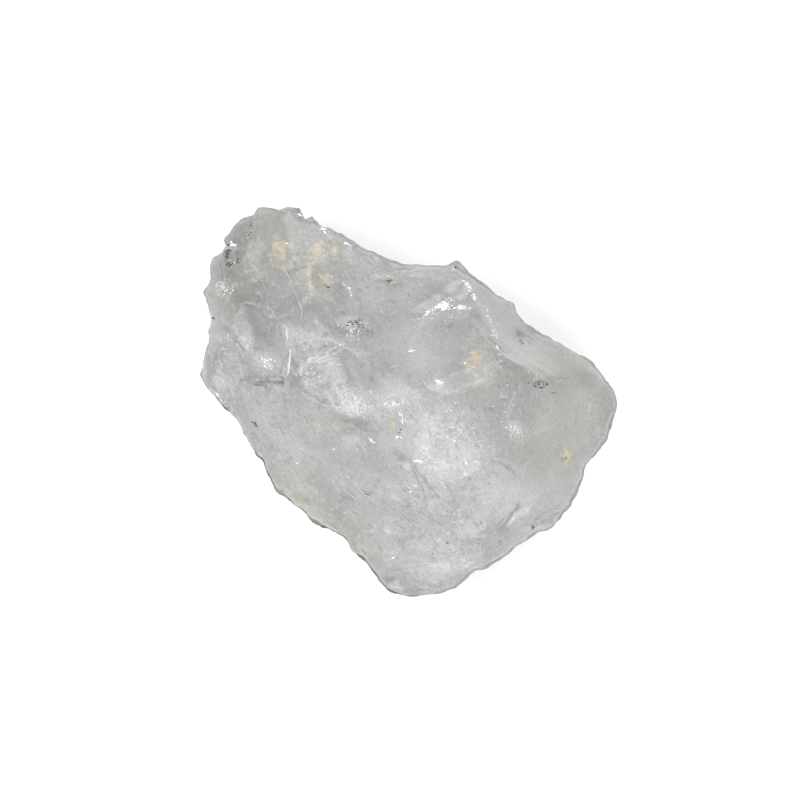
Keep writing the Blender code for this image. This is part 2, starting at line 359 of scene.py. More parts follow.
grid, quads = cube_grid(DIVISIONS)
ball = np.tan((grid / DIVISIONS * 2 - 1) * np.pi / 4) * STRETCH
ball = unit(unit(ball) + PUSH)
starts = (LENS_MIDDLE + ball * INNER) @ TURNED
lines = unit((ball * (OUTER - INNER)) @ TURNED)
print(len(grid), "points,", len(quads), "quads")

# %% [markdown]
# ## Natural unevenness
#
# Nothing on a broken stone is quite flat, round or straight. Smooth noise at several sizes does most of that
# work: first it pulls the rims of the bowls out of shape, and later it swells and roughens the skin.

# %% Smooth noise
FACTORS, SEED_FACTOR = np.array([374761393, 668265263, 1440662683]), 974634777  # large odd numbers
SCRAMBLER = 1274126177


def cell_number(cells, seed):
    """A whole number for each cell of a lattice: its three numbers and the seed, each times a large one."""
    return cells @ FACTORS + seed * SEED_FACTOR


def noise(points, size, seed):
    """Smooth noise from -1 to 1 with lumps about `size` mm across: random values at the corners of a
    lattice, blended along each edge by an S-shaped curve."""
    p = points / size + seed * 17.31
    cell = np.floor(p).astype(np.int64)
    t = p - cell
    t = t * t * t * (t * (t * 6 - 15) + 10)
    blend = np.zeros(len(p))
    for corner in range(8):
        step = np.array([corner & 1, corner >> 1 & 1, corner >> 2 & 1])
        h = cell_number(cell + step, seed)
        h = (h ^ (h >> 13)) * SCRAMBLER
        value = ((h ^ (h >> 16)) & 0xFFFF) / 32767.5 - 1
        blend += value * np.prod(np.where(step, t, 1 - t), axis=1)
    return blend


def layers(points, size, seed, count=3):
    """Noise of halving size and strength, added up."""
    return sum(noise(points, size / 2**k, seed + k) / 2**k for k in range(count))


def drift(points, size, seed):
    """A shift for each point: layers of noise for x, for y and for z."""
    return np.stack([layers(points, size, seed + 9 * k) for k in range(3)], -1)


# %% [markdown]
# ## The bare skin
#
# A true ridge on broken quartz is sharp, but never a perfect line. Taking a soft smallest instead of a plain
# one rounds each ridge over a tenth or two of a millimetre, and the difference between the two nearest faces
# says how close a point is to a ridge, which is where the stone chips and bruises. The skin is worked out
# twice: the second time the lines are shifted along the skin by smooth noise, so that no bowl keeps a
# perfect oval rim.

# %% Distance to the surface
RIDGE_ROUNDING = 0.28  # mm, at the rim
TOP_ROUNDING = 0.60  # mm more for ridges at the top, where the lump is worn
TOP_STARTS, TOP_WHOLE = 14, 20  # mm, the heights where that starts and where it is whole
OPEN_SKIN = 9  # mm from a ridge, past which it makes no difference


def softer(a, b, rounding):
    """The smaller of two distances, with the corner between them rounded off: the smaller, less the
    rounding times log(1 + e^(-difference / rounding))."""
    return np.minimum(a, b) - rounding * np.log1p(np.exp(-np.abs(a - b) / rounding))


def ramp(values, start, end):
    """How far the values have gone from start to end: 0 before the start, 1 past the end, even between."""
    return np.clip((values - start) / (end - start), 0, 1)


def shell(starts, lines, shift):
    """Points of the skin, the cutter that made each, and how far each is from a ridge. The bowls are
    met by lines shifted a little."""
    distances = to_flats(starts, lines)
    made_by = distances.argmin(0)
    two = np.partition(distances, 1, axis=0)[:2]
    gap = two[1] - two[0]
    height = (starts + lines * two[:1].T)[:, 2]
    far = softer(two[0], two[1], RIDGE_ROUNDING + TOP_ROUNDING * ramp(height, TOP_STARTS, TOP_WHOLE))
    strayed = starts + shift
    bites = [(*through_oval(strayed, lines, centre, squash), edge) for centre, squash, edge in ovals + small]
    bites += [(*through_step(strayed, lines, *step), BOWL_ROUNDING) for step in steps]
    for k, (enter, leave, edge) in enumerate(bites):
        bitten = (enter > 0) & (enter < MISSED) & (far < leave)
        deeper = bitten & (enter < far)
        made_by = np.where(deeper, len(distances) + k, made_by)
        gap = np.where(bitten, np.where(deeper, np.minimum(gap, OPEN_SKIN) + far - enter, gap), gap)
        gap = np.where(bitten, np.minimum(gap, np.abs(far - enter)), gap)
        far = np.where(bitten, softer(far, np.where(bitten, enter, far), edge), far)
    return starts + lines * far[:, None], made_by, gap


# %% The skin, worked out twice
WANDER, WANDER_SIZE = 0.8, 3.2  # mm, how far a bowl's rim strays, over lumps of this size


def gathered(over_faces, faces, count):
    """At each point, the sum of the lines kept on the faces round it."""
    return np.stack([np.bincount(faces.ravel(), np.repeat(over_faces[:, k], 4), count) for k in range(3)], -1)


def outward(points, faces):
    """Each point's outward line: the sum of the faces' own round it, where a face's is its two diagonals
    crossed."""
    p = points[faces]
    return unit(gathered(np.cross(p[:, 2] - p[:, 0], p[:, 3] - p[:, 1]), faces, len(points)))


def averaged(lines, faces, rounds):
    """Each point's line averaged with its neighbours', some rounds over. Where the lines point different
    ways the average comes out shorter than 1, which tells how bent the skin is there."""
    shares = np.bincount(faces.ravel(), minlength=len(lines))
    for _ in range(rounds):
        lines = gathered(lines[faces].mean(1), faces, len(lines)) / shares[:, None]
    return lines


bare, _, _ = shell(starts, lines, 0)
level = unit(averaged(outward(bare, quads), quads, 3))
shift = drift(bare, WANDER_SIZE, 200) * WANDER
shift -= level * (shift * level).sum(1, keepdims=True)
skin, face_of, ridge_gap = shell(starts, lines, shift)
print("skin, mm:", np.ptp(to_frame(skin) * 1000, axis=0).round(2))

# %% [markdown]
# ## Worn ridges
#
# Where two faces meet at a wide angle, wear has rounded the ridge between them until they run into each
# other. There the skin is averaged with its neighbours, many rounds over.

# %% Wearing ridges down
WORN_ROUNDS = 70
WORN_STARTS, WORN_WHOLE = 10, 12  # mm, the heights where wear starts and where it is whole
# x, y, half length, half width, bearing of the length, strength
WORN_PLACES = [
    (8, 3, 7, 3.2, 15, 1), (21, 4.6, 6, 2.6, -22, 1), (-17.8, 9, 2.8, 3, 0, 0.7),
    (-6.6, -3.8, 3.2, 1.6, -5, 0.8), (-1.5, 3.6, 3, 2, 0, 0.6), (-9.6, 3.8, 3, 2, 0, 0.6),
    (14.2, -14.4, 2.6, 1.4, 55, 0.6),
]


def spots(points, places):
    """The sum of soft spots, each x, y, half length, half width, bearing of the length, strength: strength
    times e^-(u^2 + v^2), with u and v in half lengths and half widths."""
    strengths = np.zeros(len(points))
    for x, y, long, wide, bearing, strength in places:
        b = np.radians(bearing)
        u = (points[:, 0] - x) * np.cos(b) + (points[:, 1] - y) * np.sin(b)
        v = (points[:, 1] - y) * np.cos(b) - (points[:, 0] - x) * np.sin(b)
        strengths += strength * np.exp(-((u / long) ** 2) - (v / wide) ** 2)
    return strengths


def smoothed(points, share, rounds):
    """Points drawn by their share of the way to their neighbours' average."""
    return points + share[:, None] * (averaged(points, quads, rounds) - points)


worn = np.clip(spots(skin, WORN_PLACES), 0, 1) * ramp(skin[:, 2], WORN_STARTS, WORN_WHOLE)
skin = smoothed(skin, worn, WORN_ROUNDS)
print("share of the skin worn: %.2f" % (worn > 0.3).mean())

# %% [markdown]
# ## Ripples and hackles
#
# A fracture in quartz starts at one point and runs outward. It leaves fine ripples like rings round that
# point, and here and there straight hackles that point back at it. Each face gets a starting point off to
# one side of it, its own ring spacing, and noise that lets the rings fade in and out.

# %% Rings and rays for each face
SEAM = 0.8  # mm from a ridge, where the ripples are at full strength
SPACING = (0.75, 1.5)  # mm from ring to ring
rng = np.random.default_rng(41)
outlines = outward(skin, quads)
ripple, hackle = np.zeros((2, len(skin)))
for face in np.unique(face_of):
    on = face_of == face
    here, line = skin[on], outlines[on].mean(0)
    line /= np.linalg.norm(line)
    spread = np.sqrt(((here - here.mean(0)) ** 2).sum(1).mean()) + 0.3
    along, across = square_to(line, rng.uniform(0, 360)) if abs(line[2]) < 0.999 else np.eye(3)[:2]
    start = here.mean(0) + along * spread * rng.uniform(1.0, 1.7) + across * spread * rng.uniform(-0.4, 0.4)
    u, v = (here - start) @ along, (here - start) @ across
    ring = np.hypot(u, v) + 0.25 * noise(here, 3.0, int(face) + 3)
    phase = ring / rng.uniform(*SPACING)
    fade = np.clip(noise(here, 3.5, int(face) + 60) + 0.1, 0, 1)
    ripple[on] = fade * (np.sin(2 * np.pi * phase) + 0.4 * np.sin(4 * np.pi * phase + 1)) * min(spread / 4, 1)
    ray = np.stack([np.arctan2(v, u) * spread * 2.2, ring * 0.22, np.zeros(len(u))], -1)
    hackle[on] = np.clip(noise(here, 2.5, int(face) + 90) - 0.05, 0, 1) * noise(ray, 0.45, int(face) + 7)
seam = np.clip(ridge_gap / SEAM, 0, 1)
print("ripples and hackles on", len(np.unique(face_of)), "faces")

# %% [markdown]
# ## Creases and streaks
#
# Cracks that end at the skin leave a narrow crease, which looks dark because light goes in and doesn't come
# back; that dark is painted shade in the crease's colour, and the creases along the south-west rim paint the
# shadow under its edge. Where a crack runs close under the skin it shows as a pale streak. Both are broken
# lines on the sketch with a half width and a strength. A crease is pressed into the skin as well as coloured.

# %% Lists of creases and streaks
# half width in mm, strength, then x and y of each corner
CREASES = [
    (0.34, 0.55, -0.9, -6.2, 1, -7.75, 2.5, -9.75, 4, -11.5, 4.8, -12.2),
    (0.3, 0.4, -0.2, -6.4, 1.6, -8.5, 2.5, -10.2, 3.2, -12),
    (0.2, 0.6, -4.9, -11.2, -4.1, -11.8, -3.1, -11.4), (0.22, 0.7, -7.5, -11.8, -5.7, -12.4),
    (0.5, 0.7, 12.6, -16.2, 13.9, -14.4, 15, -13.1), (0.3, 0.5, 8.6, -14.6, 10.1, -16),
    (0.2, 0.5, 9.1, -12.1, 9.3, -13.1), (0.16, 0.5, 11, -9.4, 11.6, -8.9, 12.5, -9.3),
    (0.16, 0.45, 11.4, -7.4, 13, -7.9, 14.6, -9.3), (0.3, 0.45, -11.9, 0.9, -10.5, 0, -9, -0.5, -8.1, -0.6),
    (0.26, 0.35, -11, 1.2, -9.4, 0.5, -8, 0), (0.8, 0.35, -8.4, -2.4, -6.5, -2.9, -4.4, -3),
    (0.4, 0.3, -7.5, -4.2, -5, -4), (0.3, 0.5, -3.9, 9.2, -3.4, 8),
    (0.36, 0.5, -4.4, 6.9, -3.8, 5, -3.2, 2.5), (0.4, 0.5, -6.2, 2.6, -7, 4, -7.4, 5),
    (0.3, 0.55, -10.4, 6.2, -8.4, 7), (0.35, 0.45, -20.2, 12.6, -18.7, 12.4, -17.2, 12.8),
    (0.75, 0.12, -15.8, 9.8, -16.2, 8.4, -16.8, 7.1), (0.3, 0.4, -21.7, 9, -20.4, 7.7),
    (0.18, 0.6, -20.4, 7, -19.4, 6.2), (0.25, 0.7, -2.6, 15, -1.7, 14.7, 0.2, 14.6),
    (0.3, 0.3, 0.2, 15.4, 2, 15.2, 3.5, 15.4), (0.3, 0.4, 2.5, 1.9, 3.4, 1, 4.6, 0.3),
    (0.35, 0.4, 12.6, 5, 13.5, 4.3, 14.9, 3.7), (0.25, 0.7, 14.5, 8.2, 15.4, 8),
    (0.25, 0.8, 14.9, 7.6, 15.1, 7), (0.5, 0.5, 15.2, 2.4, 17.4, 2.2, 18.6, 2.4),
    (0.25, 0.5, 16.9, -15.6, 21.2, -13.4), (0.8, 0.5, -1.4, -22.4, -0.4, -22.9, 0.3, -23.2),
    (0.25, 0.8, -23.3, 0.6, -22, -0.6, -20.7, -1.9), (0.25, 0.8, -15.6, -10.4, -14.7, -11.4, -13.8, -12.4),
    (0.3, 0.9, -9.7, -15.6, -8.1, -16.6), (0.3, 0.9, -5.8, -18.6, -4.7, -20), (0.18, 0.5, 3.4, -5, 3, -6.8),
    (0.2, 0.35, 1, -12.2, 1.6, -14.2, 1.4, -16.5), (0.2, 0.35, 3, -13.2, 4.4, -15.4),
    (0.2, 0.35, -0.8, -16.4, 0.6, -18.4), (0.16, 0.4, 6.2, -16.4, 6.8, -18.8),
    (0.2, 0.3, -9.8, -6.2, -12.2, -4.4), (0.3, 0.3, -11.4, -3, -9.6, -5.2),
    (0.16, 0.4, 19.4, -6.2, 20.6, -7.8),
]
STREAKS = [
    (0.6, 0.6, 4.4, -20.4, 7, -20.9, 9.4, -20.7), (0.15, 0.5, 15.2, 2.4, 14.1, 0.5, 13.4, -1, 12.9, -2.3),
    (0.25, 0.5, -21.9, 10, -20.8, 8.9, -19.6, 7.2), (0.22, 0.4, -24, 8.2, -22.5, 7.6, -21.4, 8.2),
    (0.15, 0.5, 14.4, 6.2, 16.6, 4.6, 18.7, 2.8), (0.12, 0.5, 15.2, 6, 17.4, 4.4, 19.2, 2.9),
    (0.12, 0.5, 13.4, 6, 15, 4.6), (0.2, 0.6, -12.6, 3.6, -10.6, 5.2, -8.4, 5.9),
    (0.45, 0.6, -11.4, 6.8, -10.2, 7.2, -8.8, 7.6), (0.12, 0.5, -10.6, 4.7, -8.2, 5.5),
    (0.12, 0.5, -10.2, 4.2, -7.9, 5), (0.2, 0.4, 5, -2.4, 7.2, -3.4, 9, -4.9),
    (0.2, 0.4, 3.2, -2.8, 5.4, -4.4, 6.8, -6.4), (0.25, 0.35, 7.6, -1.2, 10.2, -2.6),
    (0.2, 0.35, 2.6, -4.6, 4.6, -6.2, 5.8, -8.6), (0.25, 0.3, -3.4, -9, -1.2, -10.4, -0.4, -12.8),
    (0.25, 0.3, 5.2, -12, 5.6, -15, 5, -17.6), (0.25, 0.3, 8, -10.6, 8.2, -13.4),
    (0.3, 0.3, -6, -8.6, -8.2, -9.6, -9.6, -11.4), (0.3, 0.35, -8.2, 2.2, -10.4, 1.8, -12.2, 2.4),
    (0.3, 0.4, -4.8, 1.2, -2.6, 0.2, -1, 0.8), (0.2, 0.5, -1.4, 15.9, 0, 15.4),
    (0.25, 0.4, 18, -3.4, 16.2, -4.8), (0.25, 0.35, 14.4, -13, 16.4, -12),
]

# %% Lines on the skin
STRAY, STRAY_SIZE = 0.28, 1.1  # mm, how far the sides of a line stray, over lumps of this size


def near_path(points, corners):
    """How far each point is, on the sketch, from the broken line through the corners."""
    corners = np.array(corners, float).reshape(-1, 2)
    nearest = np.full(len(points), MISSED)
    for a, b in zip(corners[:-1], corners[1:]):
        along = b - a
        t = np.clip(((points[:, :2] - a) @ along) / (along @ along), 0, 1)
        nearest = np.minimum(nearest, np.hypot(*(points[:, :2] - a - t[:, None] * along).T))
    return nearest


def soft_lines(points, paths):
    """The strongest of the lines at each point: strength times a bell of the distance, with ragged sides."""
    strayed = points + STRAY * drift(points, STRAY_SIZE, 300)
    strongest = np.zeros(len(points))
    for half_width, strength, *corners in paths:
        bell = strength * np.exp(-((near_path(strayed, corners) / half_width) ** 2))
        strongest = np.maximum(strongest, bell)
    return strongest * np.clip(0.8 + 0.5 * noise(points, 0.8, 77), 0, 1)


facing_up = ramp(outlines[:, 2], -0.15, 0.15)
crease = facing_up * soft_lines(skin, CREASES)
streak = facing_up * soft_lines(skin, STREAKS)
print(len(CREASES), "creases,", len(STREAKS), "streaks")

# %% [markdown]
# ## Crumbled stone
#
# Where quartz is crushed it breaks into tiny bowls that meet at sharp edges. A net of scattered points gives
# them: each point owns a shallow dish, tilted its own way, and the lowest dish counts. The dishes are strong
# along the ridges, where the stone has chipped, and faint on the smooth faces. Calm places keep a quarter of
# the fine roughness.

# %% Crushed and calm places
# x, y, half length, half width, bearing of the length, strength
CRUSHED = [
    (15, 4.2, 3, 0.9, -38, 0.7), (12, 1, 1.4, 3, 0, 0.35), (-18.6, 10, 2.4, 1.6, 90, 0.7),
    (-21.8, 15, 1.6, 3.4, 0, 0.6), (-5.6, 9.4, 1.8, 1.4, -30, 0.8), (16.9, 1.9, 1.8, 0.8, -20, 0.8),
    (6.6, 11.6, 3.4, 1, 30, 0.5), (14, -14.4, 2.6, 1.4, 50, 0.6), (-9.5, 13.5, 2.4, 1.6, -40, 0.15),
    (-6, 7.6, 1.6, 1.4, 0, 0.5), (-10.2, 6.4, 2.6, 0.8, 15, 0.4),
]
CALM = [
    (13, 9, 5, 3, -52, 1), (19.5, 3.4, 5, 3, -35, 1), (20, -4.5, 4, 6, 0, 1), (17.5, -10.5, 3, 2.6, 0, 0.8),
    (0.5, 7, 4, 4.5, 0, 0.7), (-16.5, 20.5, 3.6, 2, 0, 0.8), (12, -12, 3, 3, 0, 0.6),
    (4.5, 4, 3.5, 3, 0, 0.6), (-18.3, 9.8, 2.8, 2.6, 0, 0.9), (-7, -7, 4, 2.5, -30, 0.5),
]


# %% Dishes
USUAL_DISH = 0.35  # about how high the lowest dish lies, taken off so that dishes lie about 0


def dishes(points, size, seed, tilt):
    """The lowest of many dishes: with p and each random middle c counted in lattice cells of this size,
    |p - c|^2 plus a tilt along the middle's own random line, of which the smallest is kept."""
    p = points / size
    cell = np.floor(p).astype(np.int64)
    lowest = np.full(len(p), np.inf)
    for corner in np.ndindex(3, 3, 3):
        c = cell + np.array(corner) - 1
        h = cell_number(c, seed) & 0xFFFFFFFF
        drawn = []
        for _ in range(6):
            h = ((h ^ (h >> 13)) * SCRAMBLER + 12345) & 0xFFFFFFFF
            drawn.append(((h >> 8) & 0xFFFF) / 65535)
        drawn = np.stack(drawn, -1)
        away = p - c - drawn[:, :3]
        height = (away * away).sum(1) + tilt * ((drawn[:, 3:] * 2 - 1) * away).sum(1)
        lowest = np.minimum(lowest, height)
    return lowest - USUAL_DISH


def bent(lines, faces, rounds):
    """How bent the skin is round each point: 1 less the length of the averaged outward line."""
    return 1 - np.linalg.norm(averaged(lines, faces, rounds), axis=1)


# %% Roughening the skin
CREASE_DEPTH, STREAK_DEPTH = 0.16, 0.04  # mm, how deep each is pressed in at full strength
SWELL, CRUSHED_COARSE, CRUSHED_FINE = 0.07, 0.11, 0.07  # mm, how high the broad swell and crushed stone stand
FAINT, FAINT_COARSE, FAINT_FINE = 0.020, 0.006, 0.010  # mm, the same for noise and dishes on smooth faces
RIPPLE, HACKLE = 0.012, 0.022  # mm
calm = np.clip(spots(skin, CALM), 0, 1)
ridge = np.clip(bent(outlines, quads, 4) / 0.08 - 0.1, 0, 1)
crumble = 0.7 * ridge * np.clip(0.5 + noise(skin, 2.0, 71), 0, 1.3) + facing_up * spots(skin, CRUSHED)
print("share of the skin near a ridge: %.2f" % (ridge > 0.3).mean())
crumble = np.where(skin[:, 2] > 1.0, crumble, 0.3 * crumble)
coarse, fine_dishes = dishes(skin, 1.5, 3, 0.9), dishes(skin, 0.7, 5, 0.9)
relief = SWELL * layers(skin, 6.0, 5) + crumble * (CRUSHED_COARSE * coarse + CRUSHED_FINE * fine_dishes)
busy = FAINT * layers(skin, 1.2, 9) + seam * (RIPPLE * ripple + HACKLE * hackle)
busy = busy + FAINT_COARSE * coarse + FAINT_FINE * fine_dishes
relief += (1 - 0.75 * calm) * busy
relief -= CREASE_DEPTH * crease + STREAK_DEPTH * streak
skin = skin + outlines * relief[:, None]
skin[:, 2] = np.maximum(skin[:, 2], 0.0)
print("relief, mm: %.2f to %.2f" % (relief.min(), relief.max()))

# %% [markdown]
# ## The ragged rim
#
# The rim is the thinnest part of the lump, so it chips first. Nicks and small tongues too slight for the
# solid are made by shifting the skin level, in or out, about a point of the outline. Finer noise roughens
# the rim all round. In some places the upper edge of the rim juts out over the wall under it.

# %% Lists of nicks, tongues and lips
# x, y, half width, how far the rim moves out (in where it is below 0), all mm
RIM_TOUCHES = [
    (26, 2.1, 1.5, -0.25), (24.6, 4.2, 1, -0.05), (14.2, 12.2, 0.8, 0.5), (11.6, 13.8, 2.2, -0.25),
    (7.1, 17.3, 0.7, 0.5), (-0.3, 17.4, 2, -0.3), (-7.4, 20.9, 0.8, 0.25), (-10.6, 22.6, 0.8, 0.75),
    (-9.3, 21.7, 0.4, -0.3), (-13, 24, 0.9, 0.35), (-20.6, 21.8, 0.9, 0.2), (-22, 20.2, 0.5, 0.3),
    (-21.6, 19.4, 0.35, -0.35), (-23.4, 17.8, 0.8, 0.25), (-24.5, 13.5, 0.5, 0.3), (-24, 10, 0.9, -0.45),
    (-24.2, 7.4, 1.3, -0.5), (-24.4, 1.9, 1.2, 0.4), (-20.6, -2.4, 1.5, -0.5), (-17.1, -7.8, 0.9, -0.4),
    (-15.2, -11.6, 1.6, 0.55), (-12.2, -14, 1, -0.35), (-9.8, -16, 0.7, 0.5), (-6.8, -17.4, 1.1, -0.4),
    (-3.8, -21, 1.2, -0.35), (-1.2, -23.8, 0.7, 0.3), (9.2, -21.8, 1.3, -0.35), (14.6, -18.2, 1.1, -0.35),
    (17.4, -16.6, 0.7, -0.45), (21.4, -12.8, 1.3, 0.2), (23.4, -8, 1.3, -0.45), (25.9, -4.7, 1, 0.3),
    (6.9, -23.3, 0.7, 0.25), (16.3, -17, 0.8, -0.4), (-19.8, -3.6, 1.2, -0.3), (5, 17, 1.2, -0.25),
    (9.4, 15.5, 1.2, -0.2), (-3, -22, 1, -0.25), (26.8, -1.5, 2.5, -0.2), (-5.9, 20, 1, 0.15),
    (-24, 14.9, 0.8, -0.2),
]
# x, y, half width, how far out: where the upper edge juts out, mm
LIPS = [
    (-16.8, -8.2, 1, 0.35), (-9.2, -15.9, 1, 0.4), (-7.4, -16.7, 1.3, 0.6), (-5.5, -18.3, 1.4, 0.95),
    (-3.9, -20.5, 1.2, 0.35), (-2.2, -22.2, 1.2, 0.3),
]
LIP_LOW, LIP_HIGH = 7.0, 9.5  # mm, a lip starts at the one height and is whole at the other
# A chip narrower than the grid can hold leaves a hard little step. It is smoothed over here.
MENDED = [(-15.9, 24.2, 1.2, 0.9, 0, 1.5)]
MENDED_ROUNDS = 14

# %% Nicks and tongues
STEEP = 0.25  # how far up a point may face and still count as steep: 0 is level, 1 is straight up
ALL_STEEP = 0.40  # the share of steep points round about that makes it all rim
RAGGED, RAGGED_FINE = 0.12, 0.14  # mm, how far noise moves the rim
near_rim = unit(averaged(outlines, quads, 16))
upright = np.repeat((outlines[:, 2:] < STEEP).astype(float), 3, 1)
thin = np.clip(averaged(upright, quads, 9)[:, 0] / ALL_STEEP, 0, 1)
side = near_rim * [1, 1, 0]
# The 1e-3 leaves a point that faces straight up without a side.
side /= np.linalg.norm(side, axis=1, keepdims=True) + 1e-3
moved = thin * (RAGGED * noise(skin, 1.7, 501) + RAGGED_FINE * noise(skin, 0.9, 502))
for places, weight in ((RIM_TOUCHES, 1.0), (LIPS, ramp(skin[:, 2], LIP_LOW, LIP_HIGH))):
    for x, y, half_width, out in places:
        moved += weight * out * np.exp(-((skin[:, 0] - x) ** 2 + (skin[:, 1] - y) ** 2) / half_width**2)
skin = skin + side * moved[:, None]
skin = smoothed(skin, np.clip(spots(skin, MENDED), 0, 1), MENDED_ROUNDS)
print("rim moved, mm: %.2f to %.2f" % (moved.min(), moved.max()))

# %% [markdown]
# ## Clouds, stains, bruises, painted light and painted shade
#
# Milky quartz is clear quartz full of tiny bubbles and healed cracks, thick in some places and thin in
# others. Rust has crept into a few cracks. Crushed spots are white. Some cloud spots also paint light onto
# slopes turned away from the lamps, and the shade spots are darker tone together with painted shade. Each is
# a list of soft spots on the sketch, kept on the skin as a number at every point, which the material turns
# into colour.

# %% Soft spots
# x, y, half length, half width, bearing of the length, strength
# Cloud spots: milkiness, and in places painted light that brightens slopes turned away from the lamps.
CLOUDS_AND_PAINTED_LIGHT = [
    (-22.6, -0.2, 2.2, 1, -50, 0.4), (3.5, 15.8, 4, 0.9, -5, 0.35), (-6.2, 0, 3, 2, -20, 0.47),
    (-2, -1, 3.5, 2.5, 0, 0.3), (3.7, -10, 4.5, 4, 90, 0.62), (12.5, -12, 3.5, 4.5, 60, 0.7),
    (6, -18.5, 5, 3, 20, 0.36), (-10.4, -5.4, 3, 3, 0, 0.25), (-12.5, -10, 2.4, 2.6, 0, 0.25),
    (17.6, -12.6, 3, 2.4, 0, 0.14), (-16.6, 4.6, 2.2, 1.4, -20, 0.4), (-9, 5.8, 3, 0.9, 10, 0.25),
    (-5, -13, 4, 5, 40, 0.3), (1, -5, 2.6, 2.2, -20, 0.6), (6.6, -4.2, 4.6, 3, -35, 0.3),
    (12.6, 8.6, 4.5, 2, -56, 0.25), (17, 5, 2.8, 1.6, -35, 0.2), (14.6, -3.6, 1.3, 1.1, -60, 0.5),
    (20.5, -8, 6, 9, 0, 0.45), (23, -1, 3, 4, 0, 0.25), (-4.5, 12.5, 3, 3, 0, 0.45),
    (-0.5, 8.5, 4, 4, 0, 0.35), (4, 4.5, 4, 3, 0, 0.5), (0, -19, 4, 4, 0, 0.2), (-16, -4, 3, 5, 40, 0.3),
]
# Shade spots: darker tone, and painted shade that dims slopes, hollows and bowl edges the lamps light too
# brightly.
SHADES = [
    (-18.4, 10, 2.6, 3, 90, 0.26), (-21.5, 15, 3, 6, 0, 0.35), (-14.6, 12, 4, 4, 0, 0.3),
    (-17, 20, 5, 4, 0, 0.35), (-5.9, -3, 3, 1.3, -5, 0.45), (-5.6, -3.1, 2.6, 0.8, -5, 0.3),
    (-7.6, -4.4, 1.8, 1, 0, 0.2), (15, 8, 1, 0.8, -45, 0.18), (20.8, 4.8, 5.5, 2, -22, 0.32),
    (8.3, 2.9, 4.6, 1.2, 16, 0.52), (-10.6, 3.3, 2.6, 2, 0, 0.48), (12.8, 8.4, 3, 1.6, -56, 0.22),
    (-5, 9, 3.2, 2.6, -20, 0.4), (-9, 16.5, 3, 3.5, 0, 0.2), (-12.6, 3.6, 2.4, 2.4, 0, 0.3),
    (8.7, 6.6, 3, 2.2, 0, 0.14), (-18.6, 12.3, 2.2, 1.2, 10, 0.35), (-16.6, 8.4, 0.8, 1.7, -15, 0.22),
    (3.8, 12.8, 3.2, 1.8, 20, 0.3), (3, -23.4, 4, 1.4, 0, 0.3), (-22, 14.8, 1.6, 2.6, 0, 0.25),
    (20.6, -7, 0.6, 1, -20, 0.3), (-21, 4, 3, 3, 0, 0.24), (-12.4, 3.8, 2.4, 2, 0, 0.1),
    (-6.4, -12.6, 3, 2.4, -40, 0.12), (-18.7, 9.7, 2.8, 1.7, 100, 0.1),
]
STAINS = [
    (-14.9, 18.5, 1.6, 2.2, 5, 1), (-10.4, 18.6, 1.6, 1.8, 0, 0.95), (-11.3, 15.6, 0.5, 1.8, 5, 0.85),
    (-9, 15, 1.2, 1.7, 25, 0.85), (-10.6, 12.9, 2, 1.4, 0, 0.6), (-8, 18.2, 0.7, 1.3, 0, 0.5),
    (9.3, 5.1, 2.2, 1.7, 40, 0.95), (9.3, 8.8, 0.9, 1.6, 10, 0.5), (20.6, -6.9, 0.8, 1.4, -20, 1),
    (-0.9, -2.9, 0.45, 0.9, 15, 0.95), (9.5, 1.8, 1.4, 0.6, 10, 0.5), (-17, 14.6, 2.6, 2, 20, 0.35),
]
OLIVES = [
    (-12.2, -12.8, 0.8, 2.6, 45, 1.1), (-0.9, -2.9, 0.7, 1, 0, 1.3), (20.7, -7.1, 0.7, 1.3, -20, 0.6),
    (-7.7, 18.4, 0.7, 1.8, 0, 0.5), (-6, -3.9, 2.6, 0.8, -10, 0.3), (-10, -2.4, 1.6, 1.2, 0, 0.3),
    (10, 1, 1.2, 1.4, 0, 0.3), (4.5, -17.8, 1, 2.4, 10, 0.3), (2, -10.6, 0.6, 2.2, 25, 0.4),
]
WARMS = [
    (-14, 19, 8, 6, 0, 0.8), (-21, 11, 3, 6, 0, 0.6), (20, -4, 7, 9, 0, 0.9), (-13, -10, 3, 9, 45, 0.8),
    (-4, -18, 3, 6, 40, 0.6), (9, 5, 4, 4.5, 0, 0.6), (21.5, 4.6, 5, 2.4, -22, 0.8),
    (-0.5, 15, 3, 1.2, -10, 0.5), (-9, -4, 3.5, 2, -30, 0.5),
]
FROSTS = [
    (-5.6, -0.6, 2.6, 1.6, -20, 0.45), (-16.6, 5.2, 1.1, 0.9, -30, 0.3), (-20.5, 6.6, 1.2, 1.8, 20, 0.22),
    (4.3, 10.9, 2, 0.55, 35, 0.8), (7.5, 11.6, 0.9, 0.7, 0, 0.7), (8.9, 13.6, 1.3, 0.45, -60, 0.8),
    (-6.2, 8, 1.3, 1.2, 0, 0.6), (-22, 14.2, 1, 0.8, -20, 0.8), (14.3, -3.7, 1.6, 1, -60, 0.55),
    (-21, 18.9, 0.9, 0.4, 0, 0.6), (7.2, -4.4, 3, 2, 20, 0.2), (7.5, -20.2, 3, 0.9, 10, 0.5),
    (15.4, -13.9, 0.8, 1.2, -30, 0.2), (4.9, 2.2, 0.5, 0.7, 0, 0.8), (-1, -0.3, 1.4, 0.9, 0, 0.5),
]


# %% Numbers kept on the skin
FROM_LIGHT = facing(232, 0)  # the way the side turned from the light faces


def on_top(places):
    """Soft spots, on the upper side only."""
    return facing_up * spots(skin, places)


def mesh_object(name, points, faces, smooth=False):
    """A mesh object from sketch points and lists of the corners of each face."""
    mesh = bpy.data.meshes.new(name)
    mesh.from_pydata(to_frame(points), [], faces)
    mesh.polygons.foreach_set("use_smooth", np.full(len(faces), smooth))
    mesh.update()
    made = bpy.data.objects.new(name, mesh)
    bpy.context.scene.collection.objects.link(made)
    return made


def paint(thing, **numbers):
    """Keeps each number at every point of the mesh, under its name, for the material to read."""
    for name, values in numbers.items():
        layer = thing.data.attributes.new(name, "FLOAT", "POINT")
        layer.data.foreach_set("value", np.clip(values, 0, 1).astype(np.float32))


